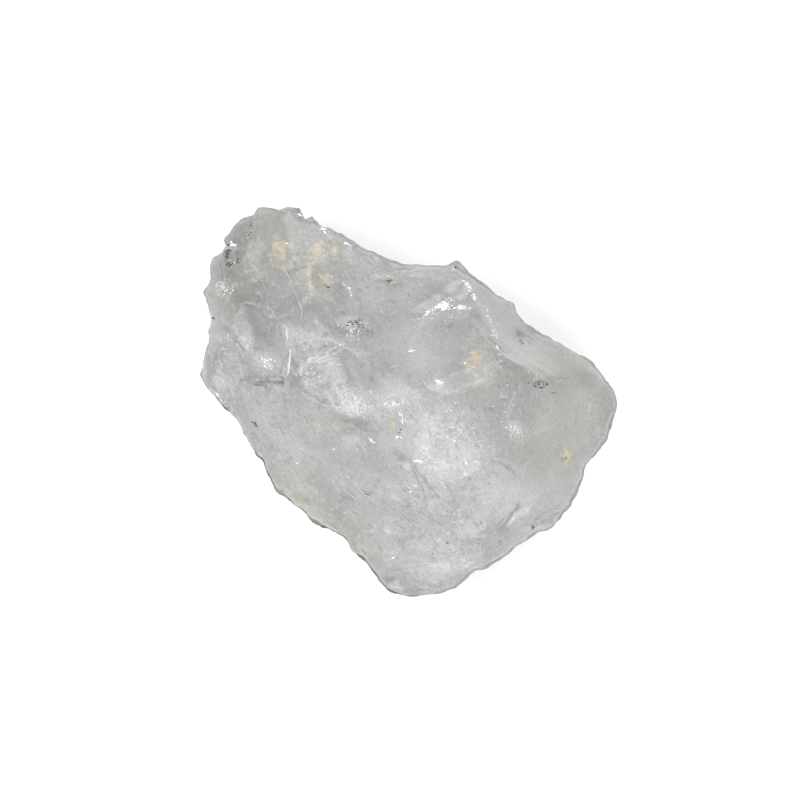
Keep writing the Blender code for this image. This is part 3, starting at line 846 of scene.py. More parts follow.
rise = outward(skin, quads)[:, 2]
# The side turned from the light, on the lower half of the sketch: there the rim wall gets darker painted
# shade.
far_side = ramp(side @ FROM_LIGHT, 0.6, 0.9) * ramp(skin[:, 1], 0.5, -1.5)
stone = mesh_object("stone", skin, quads.tolist(), smooth=True)
# The rim's thin and steep numbers also place its painted shade.
paint(
    stone, cloud=on_top(CLOUDS_AND_PAINTED_LIGHT) + (1 - facing_up) * 0.5 + 0.20 * layers(skin, 4.0, 31),
    shade=on_top(SHADES) + 0.12 * layers(skin, 3.0, 37), stain=on_top(STAINS), frost=on_top(FROSTS),
    warm=on_top(WARMS) + 0.15 + 0.35 * layers(skin, 2.6, 39), steep=thin * ramp(rise, 0.60, 0.30), thin=thin,
    crease=crease, streak=streak, far_side=far_side, calm=calm, olive=on_top(OLIVES),
)
print("numbers kept on the skin:", len(stone.data.vertices), "points")

# %% [markdown]
# ## The quartz material
#
# One glassy material does the whole lump. Its see-through part bends light as quartz does (an index of
# 1.544) and takes a little out of it on the way. Where the stone is cloudy, some of the light scatters back
# instead, so the see-through share falls and a soft grey-white shows. Stain and bruise change the colour of
# that share.

# %% Node helpers
sheet = None  # the node sheet in hand, as each material is finished before the next is begun


def new_material(name):
    """A material, its glassy shader and its output. Its node sheet is then the one in hand."""
    global sheet
    made = bpy.data.materials.new(name)
    made.use_nodes = True
    sheet = made.node_tree
    return made, sheet.nodes["Principled BSDF"], sheet.nodes["Material Output"]


def wire(made, **inputs):
    """Sets inputs of a node, each to a number, a colour or another node's output. An input goes by its name,
    with _ for a space, or by its place, as _0, _1 and so on."""
    for key, value in inputs.items():
        socket = made.inputs[int(key[1:]) if key[1:].isdigit() else key.replace("_", " ")]
        if isinstance(value, bpy.types.NodeSocket):
            sheet.links.new(value, socket)
        else:
            socket.default_value = value
    return made


def node(kind, settings=(), **inputs):
    """A new node, with its settings and its inputs."""
    made = sheet.nodes.new("ShaderNode" + kind)
    for key, value in dict(settings).items():
        setattr(made, key, value)
    return wire(made, **inputs)


# %% Sums of numbers and of colours
def math(operation, a, b, clamp=False):
    """One sum of two values. Clamp keeps it from 0 to 1."""
    return node("Math", {"operation": operation, "use_clamp": clamp}, _0=a, _1=b).outputs[0]


def times(a, b):
    """One value times the other."""
    return math("MULTIPLY", a, b)


def less(a, b, clamp=False):
    """The first value less the second."""
    return math("SUBTRACT", a, b, clamp)


def plus(*values, clamp=False):
    """All the values added up."""
    made = values[0]
    for k, value in enumerate(values[1:], 2):
        made = math("ADD", made, value, clamp and k == len(values))
    return made


def centred(value, strength):
    """A pattern of 0 to 1 moved to lie about 0, times strength."""
    return times(less(value, 0.5), strength)


def vector(operation, *values, **inputs):
    """One sum of two or three places or colours."""
    inputs.update({f"_{k}": value for k, value in enumerate(values)})
    made = node("VectorMath", {"operation": operation}, **inputs)
    return made.outputs["Value" if operation == "DOT_PRODUCT" else "Vector"]


def mix_colour(share, a, b, blend="MIX"):
    """Colour a, with colour b over it by its share."""
    made = node("Mix", {"data_type": "RGBA", "blend_type": blend}, Factor=share, _6=a, _7=b)
    return made.outputs[2]


def coated(colour, coats):
    """A colour with others laid over it in turn: each coat is a share and a colour."""
    for share, over in coats:
        colour = mix_colour(share, colour, over)
    return colour


# %% What a pattern reads, and how it fades
def kept(name):
    """A number kept on the mesh under this name."""
    return node("Attribute", {"attribute_name": name}).outputs["Fac"]


def object_place():
    """The place on the lump itself, in metres, so that a pattern stays with the stone."""
    return node("TexCoord").outputs["Object"]


def grain(place, size, detail=3.0, roughness=0.55):
    """Smooth noise from 0 to 1 with lumps about `size` mm across."""
    scale = 1 / (size * MM)
    return node("TexNoise", Vector=place, Scale=scale, Detail=detail, Roughness=roughness).outputs["Fac"]


def between(value, low, high):
    """0 below low, 1 above high, and a smooth rise between."""
    made = node("MapRange", {"interpolation_type": "SMOOTHSTEP"}, Value=value, From_Min=low, From_Max=high)
    return made.outputs["Result"]


# %% [markdown]
# The milky faces are never one tone. Broken ends of tiny cracks catch the light as facets, run in short
# strokes the way each crack ran, and lie in angular flecks. Three patterns give those, and they hold from
# any side.

# %% Patterns on the quartz
def tilted_cells(place, size):
    """A height made of small flat facets: each cell of a scattered net slopes its own way, so the height is
    the way from the cell's middle, along the cell's own random line."""
    net = node("TexVoronoi", Vector=place, Scale=1 / (size * MM))
    away = vector("SUBTRACT", place, net.outputs["Position"])
    slope = vector("SUBTRACT", net.outputs["Color"], (0.5, 0.5, 0.5))
    return times(vector("DOT_PRODUCT", away, slope), 1 / (size * MM))


def bowed(place, size, detail, reach):
    """A place shifted by coloured noise of this size, by up to `reach` mm."""
    bend = node("TexNoise", Vector=place, Scale=1 / (size * MM), Detail=detail).outputs["Color"]
    return vector("MULTIPLY_ADD", bend, (reach * MM,) * 3, place)


def wisps(place, bearing, seed, size):
    """Noise drawn out into short strokes along a bearing on the sketch, with a slow bend in them."""
    angle = -TURN - np.radians(bearing)
    turned = node("VectorRotate", {"rotation_type": "Z_AXIS"}, Vector=bowed(place, 4.0, 1.0, 3), Angle=angle)
    drawn_out = node("Mapping", Vector=turned.outputs[0], Scale=(1 / 6.0, 1.0, 1.0),
                     Location=(seed * MM, 0, 0))
    return grain(drawn_out.outputs[0], size, 3.0, 0.6)


def flecks(place, seed, low, size=0.55):
    """Small angular flecks: the cells of a bent net whose own random number is over `low`, in patches."""
    moved = vector("ADD", place, (seed * MM, 0, 0))
    net = node("TexVoronoi", Vector=bowed(moved, 0.5, 2.0, 0.7), Scale=1 / (size * MM))
    drawn = node("SeparateColor", Color=net.outputs["Color"]).outputs[0]
    here = between(grain(moved, 2.2, 2.0), 0.42, 0.60)
    return times(between(drawn, low, low + 0.02), here)


# %% [markdown]
# The shares of each tone come first: how milky, shaded, rusty and frosted the stone is at each place. The
# milky share also carries painted light, and the shaded one darker tone with painted shade. Fine noise breaks
# each of them up, so that no soft spot shows as one.

# %% How much of each tone
CLEAR, CLOUD = (0.45, 0.455, 0.455, 1), (0.55, 0.555, 0.565, 1)
# SHADE is a dark grey: darker tone in the dark strokes and flecks, and painted shade in the shade spots and
# on the thin rim.
SHADE, RUST, OLIVE = (0.20, 0.20, 0.195, 1), (0.46, 0.358, 0.245, 1), (0.42, 0.41, 0.29, 1)
FROST = (0.70, 0.70, 0.70, 1)
CREASE_SHADE, PAINTED_EDGE_SHADE = (0.10, 0.10, 0.09, 1), (0.15, 0.15, 0.15, 1)
WARM, COOL = (1.0, 0.998, 0.93, 1), (0.98, 0.985, 1.01, 1)
# bearing, seed, size in mm, the noise where strokes start and where they are whole, share, colour
WISPS = [(-45, 3, 0.45, 0.54, 0.66, 0.30, FROST), (-52, 17, 0.45, 0.57, 0.66, 0.30, SHADE),
         (30, 41, 0.35, 0.58, 0.68, 0.25, FROST)]
FLECKS = [(5, 0.80, 0.26, FROST), (9, 0.84, 0.30, SHADE)]  # seed, low, share, colour
quartz, glassy, output = new_material("quartz")
place = object_place()
grit, dust = grain(place, 0.16, 2.0), grain(place, 0.28, 2.0)
fine, broad = grain(place, 0.45, 4.0), grain(place, 2.4, 4.0)
stained, rim_thin, rim_steep, creased = [kept(name) for name in ("stain", "thin", "steep", "crease")]
# The milky share, which also carries the cloud spots' painted light.
cloudy = plus(kept("cloud"), centred(broad, 0.28), clamp=True)
# The shaded share: darker tone and painted shade.
shady = plus(kept("shade"), centred(fine, 0.35), centred(grit, 0.25), clamp=True)
blotched = centred(grain(place, 1.0, 5.0, 0.75), 2.6)
rusty = between(plus(stained, blotched), 0.45, 0.95)
rusty = times(rusty, between(stained, 0.05, 0.4))
frosty = times(kept("frost"), between(grain(place, 0.30, 4.0, 0.7), 0.46, 0.60))
strokes = less(1.0, times(kept("calm"), 0.8))

# %% [markdown]
# Then the tones are laid over each other from the inside out: milkiness with some painted light, darker
# tone with painted shade, and streaks in the stone, strokes and flecks at its skin, painted shade in the
# creases, stain on top, and last painted shade that greys the thin rim and darkens its steepest edge. The
# whole is warmer or cooler from place to place.

# %% The colour of the quartz
coats = [(shady, SHADE), (times(kept("streak"), 0.8), FROST)]
for bearing, seed, size, low, high, share, tone in WISPS:
    wispy = times(between(wisps(place, bearing, seed, size), low, high), share)
    coats.append((times(wispy, strokes), tone))
for seed, low, share, tone in FLECKS:
    coats.append((times(flecks(place, seed, low), times(strokes, share)), tone))
# Painted shade in the creases.
coats.append((creased, CREASE_SHADE))
colour = coated(mix_colour(cloudy, CLEAR, CLOUD), coats)
tint = mix_colour(kept("warm"), COOL, WARM)
colour = coated(mix_colour(1.0, colour, tint, "MULTIPLY"), [
    (times(rusty, 0.70), RUST), (times(kept("olive"), 0.6), OLIVE), (frosty, FROST),
    # Painted shade at the rim: the thin rim greyed, and its steepest edge darker still.
    (times(rim_thin, 0.7), SHADE), (times(rim_steep, 0.8), PAINTED_EDGE_SHADE),
])
speckled = plus(1.0, centred(grit, 0.60), centred(dust, 0.62), centred(fine, 0.2))
colour = vector("SCALE", colour, Scale=speckled)

# %% [markdown]
# What is left is how light goes through and off it. The stone is least see-through where it is crushed,
# stained or thin, and the fine facets tip its skin this way and that. A thin glossy coat gives the wet look
# of fresh breaks.

# %% The quartz
QUARTZ_IOR = 1.544
clear = less(0.50, times(cloudy, 0.15))
for pattern, share in ((frosty, 0.3), (rusty, 0.3), (rim_thin, 0.5), (rim_steep, 0.5), (creased, 0.4)):
    clear = less(clear, times(pattern, share), True)
heights = plus(times(fine, 0.5), times(grit, 0.35), times(tilted_cells(place, 0.35), 0.5))
bump = node("Bump", Strength=0.5, Distance=0.08 * MM, Height=heights).outputs["Normal"]
wire(
    glassy, Base_Color=colour, Transmission_Weight=clear, IOR=QUARTZ_IOR, Normal=bump, Coat_Normal=bump,
    Roughness=plus(0.32, times(cloudy, 0.12), times(rim_thin, 0.3)),
    Coat_Weight=less(0.45, times(rim_thin, 0.45), True), Coat_Roughness=0.25, Coat_IOR=1.5,
)
haze = node("VolumeAbsorption", Color=(0.72, 0.72, 0.70, 1), Density=30.0)
wire(output, Volume=haze.outputs["Volume"])
stone.data.materials.append(quartz)

# %% [markdown]
# The rim's broken wall is seen edge-on from above, so light that enters it goes on sideways and little comes
# back. That shade is painted: the wall has a dull dark material of its own, with painted shade darkest on
# the side turned away from the light.

# %% The broken wall of the rim
# Painted shade: the wall's grey on the side turned to the light, and a darker grey in patches on the side
# turned from it.
WALL_PALE, WALL_DARK = (0.28, 0.28, 0.275, 1), (0.07, 0.07, 0.065, 1)
# How far up a face still may turn and count as the rim's wall: 0 is upright, 1 is level. Each has a number
# for the side turned from the light and one for the side turned to it.
WALL_SLOPE, LIT_WALL_SLOPE = 0.28, 0.22
LOW_WALL_SLOPE, LIT_LOW_WALL_SLOPE = 0.45, 0.32  # the same for the rim below LOW_WALL
LOW_WALL, LEDGE_TOP, WALL_FOOT = 10.5, 8.6, 1.0  # mm; below LEDGE_TOP a dark side's ledge counts as wall too
wall, wall_shader, _ = new_material("rim_wall_painted_shade")
place = object_place()
patchy = plus(0.45, times(between(grain(place, 3.2, 2.0), 0.36, 0.58), 0.55))
tone = mix_colour(times(kept("far_side"), patchy), WALL_PALE, WALL_DARK)
uneven = plus(1.0, centred(grain(place, 0.8, 4.0), 0.8))
wire(wall_shader, Base_Color=vector("SCALE", tone, Scale=uneven), Roughness=0.8, Specular_IOR_Level=0.1)
stone.data.materials.append(wall)

slope, high, thinness = rise[quads].mean(1), skin[quads, 2].mean(1), thin[quads].mean(1)
dark_side = far_side[quads].mean(1) > 0.5
on_wall = (slope < np.where(dark_side, WALL_SLOPE, LIT_WALL_SLOPE)) & (thinness > 0.5)
low_wall = (slope < np.where(dark_side, LOW_WALL_SLOPE, LIT_LOW_WALL_SLOPE)) & (high < LOW_WALL)
on_wall |= low_wall & (thinness > 0.9)
on_wall |= (slope > 0) & (high < LEDGE_TOP) & dark_side
on_wall &= high > WALL_FOOT
stone.data.polygons.foreach_set("material_index", on_wall.astype(np.int32))
print("share of the skin that is rim wall: %.2f" % on_wall.mean())
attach(stone, "root")
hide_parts("quartz")

# %% [markdown]
# ## Small things in the skin
#
# The finest marks on the lump are narrower than the skin's grid: healed cracks that show as pale threads,
# open ones that show as dark lines, black specks of another mineral, and the white flakes of crushed quartz
# along the ridges, whose near-white also paints the glints of light there. Each kind is one joined mesh of
# tiny closed shapes. A thread or a crack is a flattened tube along a path, pointed at both ends; a speck or a
# flake is a flattened ball with corners.
# They are laid on the skin by looking straight down at it, and sunk into it by half their thickness.

# %% Laying things on the skin
LAID_STEP, LAID_WANDER = 0.18, 0.11  # mm, from point to point of a path, and how far it strays


def on_skin(x, y):
    """The point of the finished skin over (x, y) on the sketch and its outward line; None beside the lump."""
    above = to_frame((x, y, 60.0))
    hit, point, normal, _ = stone.ray_cast(above.tolist(), (0, 0, -1))
    if not hit:
        return None
    return (np.array(point) / MM + MIDDLE) @ TURNED, np.array(normal) @ TURNED


def laid(corners, seed):
    """A path of points on the skin through the corners, a little unsteady, with their outward lines."""
    corners = np.array(corners, float).reshape(-1, 2)
    lengths = np.r_[0, np.cumsum(np.linalg.norm(np.diff(corners, axis=0), axis=1))]
    at = np.linspace(0, lengths[-1], max(int(lengths[-1] / LAID_STEP), 4))
    x, y = np.interp(at, lengths, corners[:, 0]), np.interp(at, lengths, corners[:, 1])
    flat = np.stack([x, y, np.zeros_like(x)], -1)
    x, y = x + LAID_WANDER * noise(flat, 0.7, seed + 1), y + LAID_WANDER * noise(flat, 0.7, seed + 2)
    points, ups = zip(*filter(None, map(on_skin, x, y)))
    return np.array(points), np.array(ups)


# %% [markdown]
# Both kinds of shape are a row of rings drawn to a point at each end, so one function closes them. A tube
# has many small rings along its path. A flattened ball has two rings of uneven points.

# %% Tubes and flattened balls
BLOB_AROUND = 5
BLOB_RINGS = ((-0.5, 0.85), (0.4, 0.9))  # height and width of each ring, as shares of the ball's


def closed(rings, first, last):
    """(points, faces) of a closed shape: rings joined by quads, and drawn to a point at each end."""
    n, around = rings.shape[:2]
    i, j = np.meshgrid(np.arange(n - 1), np.arange(around), indexing="ij")
    k = (j + 1) % around
    sides = np.stack([i * around + j, i * around + k, (i + 1) * around + k, (i + 1) * around + j], -1)
    j, k, end = j[0], k[0], (n - 1) * around
    near = np.stack([k, j, np.full(around, n * around)], -1)
    far = np.stack([end + j, end + k, np.full(around, n * around + 1)], -1)
    faces = sides.reshape(-1, 4).tolist() + near.tolist() + far.tolist()
    return np.concatenate([rings.reshape(-1, 3), [first], [last]]), faces


def tube(path, half_width, half_height, around=6):
    """A flattened tube: the path's points, each with its own outward line, swept by an ellipse that shrinks
    to a point at both ends as the root of a sine, and swells and thins by noise on the way."""
    points, ups = path
    side = unit(np.cross(ups, np.gradient(points, axis=0)))
    t = np.clip(np.linspace(0, 1, len(points)), 0.004, 0.996)
    taper = (np.sqrt(np.clip(np.sin(np.pi * t), 0, 1))
             * np.clip(0.75 + 0.9 * noise(points, 0.9, 61), 0.15, 1.5))
    angle = np.arange(around) / around * 2 * np.pi
    width = (half_width * taper)[:, None, None] * np.cos(angle)[None, :, None]
    height = (half_height * taper)[:, None, None] * np.sin(angle)[None, :, None]
    return closed(points[:, None] + side[:, None] * width + ups[:, None] * height, points[0], points[-1])


def blob(centre, up, long, wide, tall, turn):
    """A flattened ball with corners: two rings of uneven points and two poles."""
    along, side = square_to(up, turn) if abs(up[2]) < 0.999 else (facing(turn, 0), facing(turn + 90, 0))
    angle = np.arange(BLOB_AROUND) / BLOB_AROUND * 2 * np.pi
    uneven = rng.uniform(0.45, 1.25, BLOB_AROUND)
    rings = []
    for height, width in BLOB_RINGS:
        across = along * (long * (width * uneven) * np.cos(angle))[:, None]
        sideways = side * (wide * (width * uneven) * np.sin(angle))[:, None]
        rings.append(centre + up * tall * height + across + sideways)
    return closed(np.array(rings), centre - up * tall, centre + up * tall * 0.9)


def joined(name, parts):
    """One mesh object of many closed shapes, the corners of each counted on from the last."""
    points, faces, count = [], [], 0
    for vertices, its_faces in parts:
        points.append(vertices)
        faces += [[v + count for v in face] for face in its_faces]
        count += len(vertices)
    print(name, len(points))
    return mesh_object(name, np.concatenate(points), faces)


# %% [markdown]
# ## Pale threads and dark cracks
#
# Where an old crack has healed, its edge shows on the skin as a thin pale line. An open one lets air in and
# shows dark, and one just under the skin shows as a grey vein. Each is a list of corners on the sketch and
# half its width.

# %% Threads and cracks
# half width in mm, then x and y of each corner
THREADS = [
    (0.05, -18.75, 17.25, -18.1, 16.4), (0.035, -17.6, 16.2, -17.1, 14.6, -16.2, 12.7),
    (0.035, -16.6, 13, -16, 11.4, -15.4, 10.2), (0.035, -14.6, 16.5, -13.6, 15, -12.9, 13.4),
    (0.05, -13.1, 13.6, -12.6, 12.2, -12.2, 11, -12.4, 9.7), (0.11, -14.1, 9, -14, 7.2),
    (0.18, -13.7, 6.3, -13.75, 4.6, -13.9, 2.9), (0.05, -21, 9.4, -20.2, 8.2, -19.3, 7.4),
    (0.07, -12.4, 4.2, -10.2, 5.6, -8.6, 6.2, -7.2, 6.9), (0.055, -11.4, 4.4, -9.6, 5.3, -8, 5.7, -6.9, 6.4),
    (0.05, -10.4, 4.6, -8.9, 5, -7.2, 5.4), (0.05, -2.6, 15.9, -1.4, 15.4, -0.1, 14.9),
    (0.04, -1.7, 15.2, -0.8, 15.8, 0.3, 16.1),
    (0.025, 15.2, 2.4, 14.6, 1.2, 14.1, 0.5, 13.4, -1, 12.9, -2.3), (0.03, 11.75, -5, 11.6, -6.9),
    (0.04, 19, 2.7, 19.5, 2.2, 20.1, 2.6), (0.04, 21.4, 2.7, 22, 2.6, 22.6, 2.8),
    (0.03, 15.4, 5.6, 17, 4.4, 18.6, 3.1), (0.03, 14.6, 5.4, 16, 4.3),
]
CRACKS = [
    (0.1, -18.2, 1.9, -16.9, 1.75, -16, 1.6), (0.07, -15.9, 1.8, -15.2, 2.4),
    (0.04, -11, 0.6, -10, -0.2, -9.2, -0.4), (0.05, -7.2, -11.9, -6, -12.4),
    (0.05, -4.5, -11.6, -3.6, -11.7), (0.09, -8.9, -15.3, -7.7, -16.1), (0.07, -4.9, -18.4, -4.2, -19.3),
    (0.05, 16.5, -15.2, 17.9, -14.3), (0.04, -20.2, 6.7, -19.4, 6.1), (0.05, 11.4, -9.2, 12, -9),
]
VEINS = [
    (0.22, -1, -5.8, 0.6, -6.9, 2.2, -8.8, 3.5, -10.6, 5, -12.1),
    (0.19, 0.9, -7.6, 2, -9.4, 2.9, -11.2, 3.1, -12.4), (0.08, -6.9, -11.9, -5.6, -12.4),
    (0.07, -4.8, -11, -3.8, -11.5, -3, -11.1), (0.05, 0.6, -14.4, 1.5, -15.6),
    (0.05, 3.5, -14.4, 4.2, -15.5), (0.05, 1.9, -17.5, 3.1, -17.1), (0.07, 4, -17.5, 5, -18.5),
    (0.05, -1, -16.9, 0, -18.1), (0.05, 3.8, -20, 4.5, -20.8), (0.15, -12.4, 0.5, -10.6, -0.5, -9, -1),
    (0.15, -11.9, 0.9, -10.2, 0.3, -8.2, -0.2), (0.1, -8.2, -2.3, -7, -1.9, -6.2, -2.1),
    (0.1, -8.4, -3.8, -6.6, -4.3), (0.05, -3.1, -2.5, -1.9, -4), (0.14, -4.2, 4.6, -3.6, 3.5, -3.1, 2.3),
    (0.12, -4.6, 9, -3.6, 7.7), (0.14, -7.3, 4.4, -6.4, 2.9), (0.05, -12.5, 6.8, -10, 7.4, -8.5, 7.5),
    (0.04, -3.1, 0, -2.9, -1.5), (0.09, 2.5, 1.9, 3.8, 0.9, 4.5, 0.5), (0.04, 5, -2.7, 6.5, -2.6),
    (0.04, 6.9, -1.9, 8.1, -3.1, 8.8, -4), (0.05, 11, -7.2, 12.1, -7.6, 13.1, -8.2, 14.4, -9.4, 15.2, -10.4),
    (0.05, 10.9, -9.2, 11.9, -9, 12.8, -9.4), (0.04, 9, -10, 9.2, -11.5, 9.4, -12.9),
    (0.09, 8.8, -15, 9.8, -15.8), (0.09, 9.8, -14.8, 10.5, -16), (0.2, 12.5, -16, 13.2, -15, 13.8, -14.3),
    (0.18, 14, -13.8, 15.1, -12.4), (0.14, 12, -15.6, 12.9, -14.6),
    (0.06, 16.2, -15, 18.1, -14, 20, -13.4, 21.2, -13.1), (0.05, 7.8, -17.6, 9.2, -17.8),
    (0.05, 5.6, -18.5, 6.9, -19), (0.06, -21.5, 9.8, -20, 8.1, -19, 6.2),
    (0.05, -19.8, 13.4, -18.4, 12.6, -17.2, 12.9), (0.05, -11.5, 13.2, -10.6, 12.4, -9.6, 12),
    (0.04, -2.6, 15.2, -1.2, 15, 0.4, 15.4), (0.04, -8.5, 2.2, -7.4, 3.1, -6.6, 4.2),
]


def marks(name, places, half_height):
    """One joined mesh of tubes, a tube for each place in the list."""
    return joined(name, [tube(laid(path, k * 3), width, half_height)
                         for k, (width, *path) in enumerate(places)])


threads = marks("healed_cracks", THREADS, 0.045)
cracks = marks("open_cracks", CRACKS, 0.045)
veins = marks("grey_veins", VEINS, 0.03)

# %% [markdown]
# ## Specks and flakes
#
# Specks and flakes lie in small crowds. Each crowd is a middle on the sketch, how far it spreads each way,
# the bearing of its length, how many there are and how big. The short hackle marks of the milky faces are
# crowds too, pale or dark, of shapes drawn out along the bearing.

# %% Lists of crowds
# x, y, spread along, spread across, bearing, count, size
SPECKS = [
    (-21.5, 18.2, 0.25, 0.7, 0, 6, 0.36), (-21, 17, 0.7, 0.35, 20, 9, 0.28),
    (-20.3, 18.4, 0.2, 0.8, 0, 6, 0.2), (-21.3, 15.6, 0.5, 0.7, 0, 4, 0.16),
    (-18.9, 21, 0.3, 0.9, -20, 5, 0.17), (-23.4, 10.2, 0.15, 0.3, 0, 2, 0.3),
    (-1.4, 14.8, 0.5, 0.12, -15, 5, 0.22), (6.9, 16.3, 0.2, 0.15, 0, 2, 0.28),
    (15.1, 7.2, 0.15, 0.5, 10, 4, 0.16), (17.3, 1.8, 1, 0.6, 10, 40, 0.16),
    (19.1, 0.9, 0.35, 0.12, -20, 3, 0.16), (13.2, 4.3, 1.2, 0.3, -40, 6, 0.13),
    (-5.5, 9.4, 0.9, 0.5, -30, 18, 0.24), (-4.1, 8.9, 0.7, 0.3, -50, 5, 0.18),
    (-18, -3.1, 0.45, 0.15, -40, 4, 0.26), (-0.1, -3.9, 0.15, 0.2, 0, 2, 0.2),
    (16.4, -15.9, 0.3, 0.2, 40, 4, 0.2), (20.4, -7.5, 0.45, 0.3, 60, 6, 0.18),
    (4, -19.2, 0.1, 0.1, 0, 1, 0.2), (5.8, -17.8, 0.5, 0.4, 30, 4, 0.13),
    (2.3, -16.8, 0.7, 0.2, -10, 4, 0.12), (-10.7, 14, 1.4, 0.5, 0, 6, 0.14), (-9, 14.2, 0.3, 0.2, 0, 2, 0.2),
    (8.7, 9.4, 1, 0.5, -20, 5, 0.11), (9.8, -17.7, 1, 0.3, 0, 4, 0.12), (-17.5, 5.2, 1, 0.5, 60, 4, 0.12),
    (3.4, -12, 1.6, 3.6, 0, 8, 0.08),
]
# Flakes: crushed quartz, whose white also paints the glints along the ridges.
FLAKES = [
    (5.6, 11.8, 0.9, 0.45, 30, 30, 0.26), (3.4, 10.8, 1.2, 0.16, 38, 22, 0.2),
    (7.4, 11.4, 1, 0.35, -10, 24, 0.22), (8.3, 14.4, 0.7, 0.3, -55, 16, 0.2),
    (9.1, 13, 0.7, 0.3, -60, 14, 0.2), (6.2, 10.2, 1.8, 0.6, 20, 20, 0.09),
    (11.1, 10.2, 1.6, 0.16, 104, 22, 0.15), (11.7, 8.3, 1.1, 0.35, 100, 26, 0.15),
    (12, 6.6, 0.3, 0.15, 100, 5, 0.2), (12.4, 4.4, 1.2, 0.14, 100, 14, 0.1),
    (-22.1, 13.8, 1, 0.7, -20, 24, 0.15), (-20.9, 19.4, 0.5, 0.25, -30, 10, 0.22),
    (-21, 17.2, 0.3, 0.3, 0, 4, 0.16), (-20.75, 10.5, 0.05, 0.05, 0, 1, 0.24),
    (-14.1, 19.5, 0.05, 0.05, 0, 1, 0.2), (-5.9, 8.7, 1.1, 1.4, 60, 34, 0.13),
    (-6.3, 13.6, 1.1, 0.18, 110, 14, 0.13), (-7, 14.4, 0.7, 0.14, 115, 6, 0.12),
    (-0.9, -0.5, 0.9, 0.25, 5, 20, 0.2), (0.2, -2, 0.8, 0.25, -70, 12, 0.18),
    (-0.2, -4.6, 0.3, 0.2, 0, 4, 0.2), (4.8, 2.3, 0.5, 0.25, -50, 9, 0.24), (1.4, 6.1, 0.5, 0.1, 0, 6, 0.17),
    (-0.6, 4.2, 0.6, 0.1, 10, 4, 0.13), (2.1, -7.5, 0.6, 0.12, -15, 9, 0.2),
    (8.2, -7.8, 0.5, 0.1, -65, 9, 0.18), (-12.5, 23, 0.4, 0.3, 0, 9, 0.18),
    (-9.5, 21.2, 0.5, 0.3, -30, 10, 0.26), (-6.6, 19.5, 0.8, 0.12, -20, 12, 0.18),
    (-3.2, 17.6, 0.9, 0.2, -30, 6, 0.1), (-16.6, 4.6, 0.9, 0.8, -40, 24, 0.15),
    (8, 5.8, 0.2, 1.2, 0, 5, 0.12), (7.8, 7.9, 0.05, 0.05, 0, 1, 0.2), (-22.4, 0.2, 1.4, 0.2, -50, 14, 0.18),
    (-12.3, 3.2, 0.6, 0.5, 0, 10, 0.13), (5.5, -7, 3.2, 1.8, -45, 26, 0.08),
    (7, -4.8, 3.5, 1.6, -40, 22, 0.08), (-0.5, -11.5, 2.5, 3, -45, 18, 0.07), (2.5, 3.8, 5, 3, 0, 16, 0.07),
    (-8.2, -6.1, 0.05, 0.05, 0, 1, 0.26), (-12.8, -7.9, 0.05, 0.05, 0, 1, 0.22),
    (23.9, -0.1, 0.05, 0.05, 0, 1, 0.22), (-5.3, -6.1, 0.05, 0.05, 0, 1, 0.2),
    (-3.7, -4.9, 0.5, 0.1, -30, 8, 0.2), (19, -5.6, 0.05, 0.05, 0, 1, 0.14),
    (-9.6, 5.4, 3, 1.5, 0, 12, 0.07), (13.9, 5.6, 2.6, 0.7, -35, 12, 0.08),
    (14.2, -3.7, 1, 0.6, -60, 14, 0.1), (-5.6, -0.4, 2, 1.2, -20, 26, 0.09),
    (1.2, -11.3, 0.3, 0.1, 10, 3, 0.16), (-0.9, -19.5, 0.4, 0.2, 30, 3, 0.18),
]
PALE_STROKES = [
    (6.4, -4, 3.8, 2.6, -28, 80, 0.32), (3, -8.6, 3, 3.4, -50, 40, 0.36),
    (-5.2, -0.4, 2.4, 1.6, -35, 30, 0.34), (5, -15, 5, 4, -55, 50, 0.36),
    (-20.8, 6.4, 2.6, 1.8, -45, 36, 0.34), (-7.6, -9.4, 4, 4, -40, 24, 0.3),
    (16.6, 3.8, 2.6, 1, -45, 26, 0.34), (-9.8, 4.6, 2.4, 1.4, 22, 26, 0.36), (1, 8, 5, 4, 20, 24, 0.2),
    (12.6, -1.6, 1.6, 3, 0, 20, 0.28), (-13, 15, 5, 4, 70, 34, 0.24), (14.4, -3.9, 1.2, 0.7, -50, 12, 0.3),
]
DARK_STROKES = [
    (3.6, -15.6, 3.6, 5, -52, 60, 0.34), (11, -12.6, 4, 4, -60, 30, 0.3), (-4.6, 6.6, 1.6, 3, 60, 40, 0.32),
    (-6.4, 1.6, 2.6, 2, 35, 26, 0.32), (-7.6, -3.4, 2.6, 1.6, -20, 30, 0.34),
    (-13.4, 14.6, 5, 4, 60, 50, 0.28), (15.4, 2.8, 2, 0.9, -25, 34, 0.26), (-1, 15, 3.4, 0.8, -10, 26, 0.28),
    (10.4, 3.6, 2.4, 3, 40, 36, 0.24), (-21.4, 12.4, 1.4, 4, 0, 34, 0.28), (1, 8, 5, 4, 20, 30, 0.2),
    (-6, -13, 4, 5, -40, 30, 0.28), (6.8, -4.6, 3.4, 2.4, -40, 34, 0.3),
    (17.6, -13.4, 2.4, 0.8, 35, 12, 0.3),
]


# %% Crowds
def crowd(name, places, flatness, narrow=(0.35, 0.8), unruly=25):
    """One joined mesh of flattened balls, scattered by a bell curve about each place. Narrow is the share of
    the length that the width may be, and unruly is how many degrees they stray from the bearing."""
    parts = []
    for x, y, long, wide, bearing, count, size in places:
        b = np.radians(bearing)
        u, v = rng.normal(0, 0.6, (2, count)) * np.array([[long], [wide]])
        for at in zip(x + u * np.cos(b) - v * np.sin(b), y + u * np.sin(b) + v * np.cos(b)):
            found = on_skin(*at)
            if found is None:
                continue
            half = size * rng.uniform(0.45, 1.1)
            turn = bearing + rng.normal(0, unruly)
            parts.append(blob(*found, half * 1.3, half * rng.uniform(*narrow), half * flatness, turn))
    return joined(name, parts)


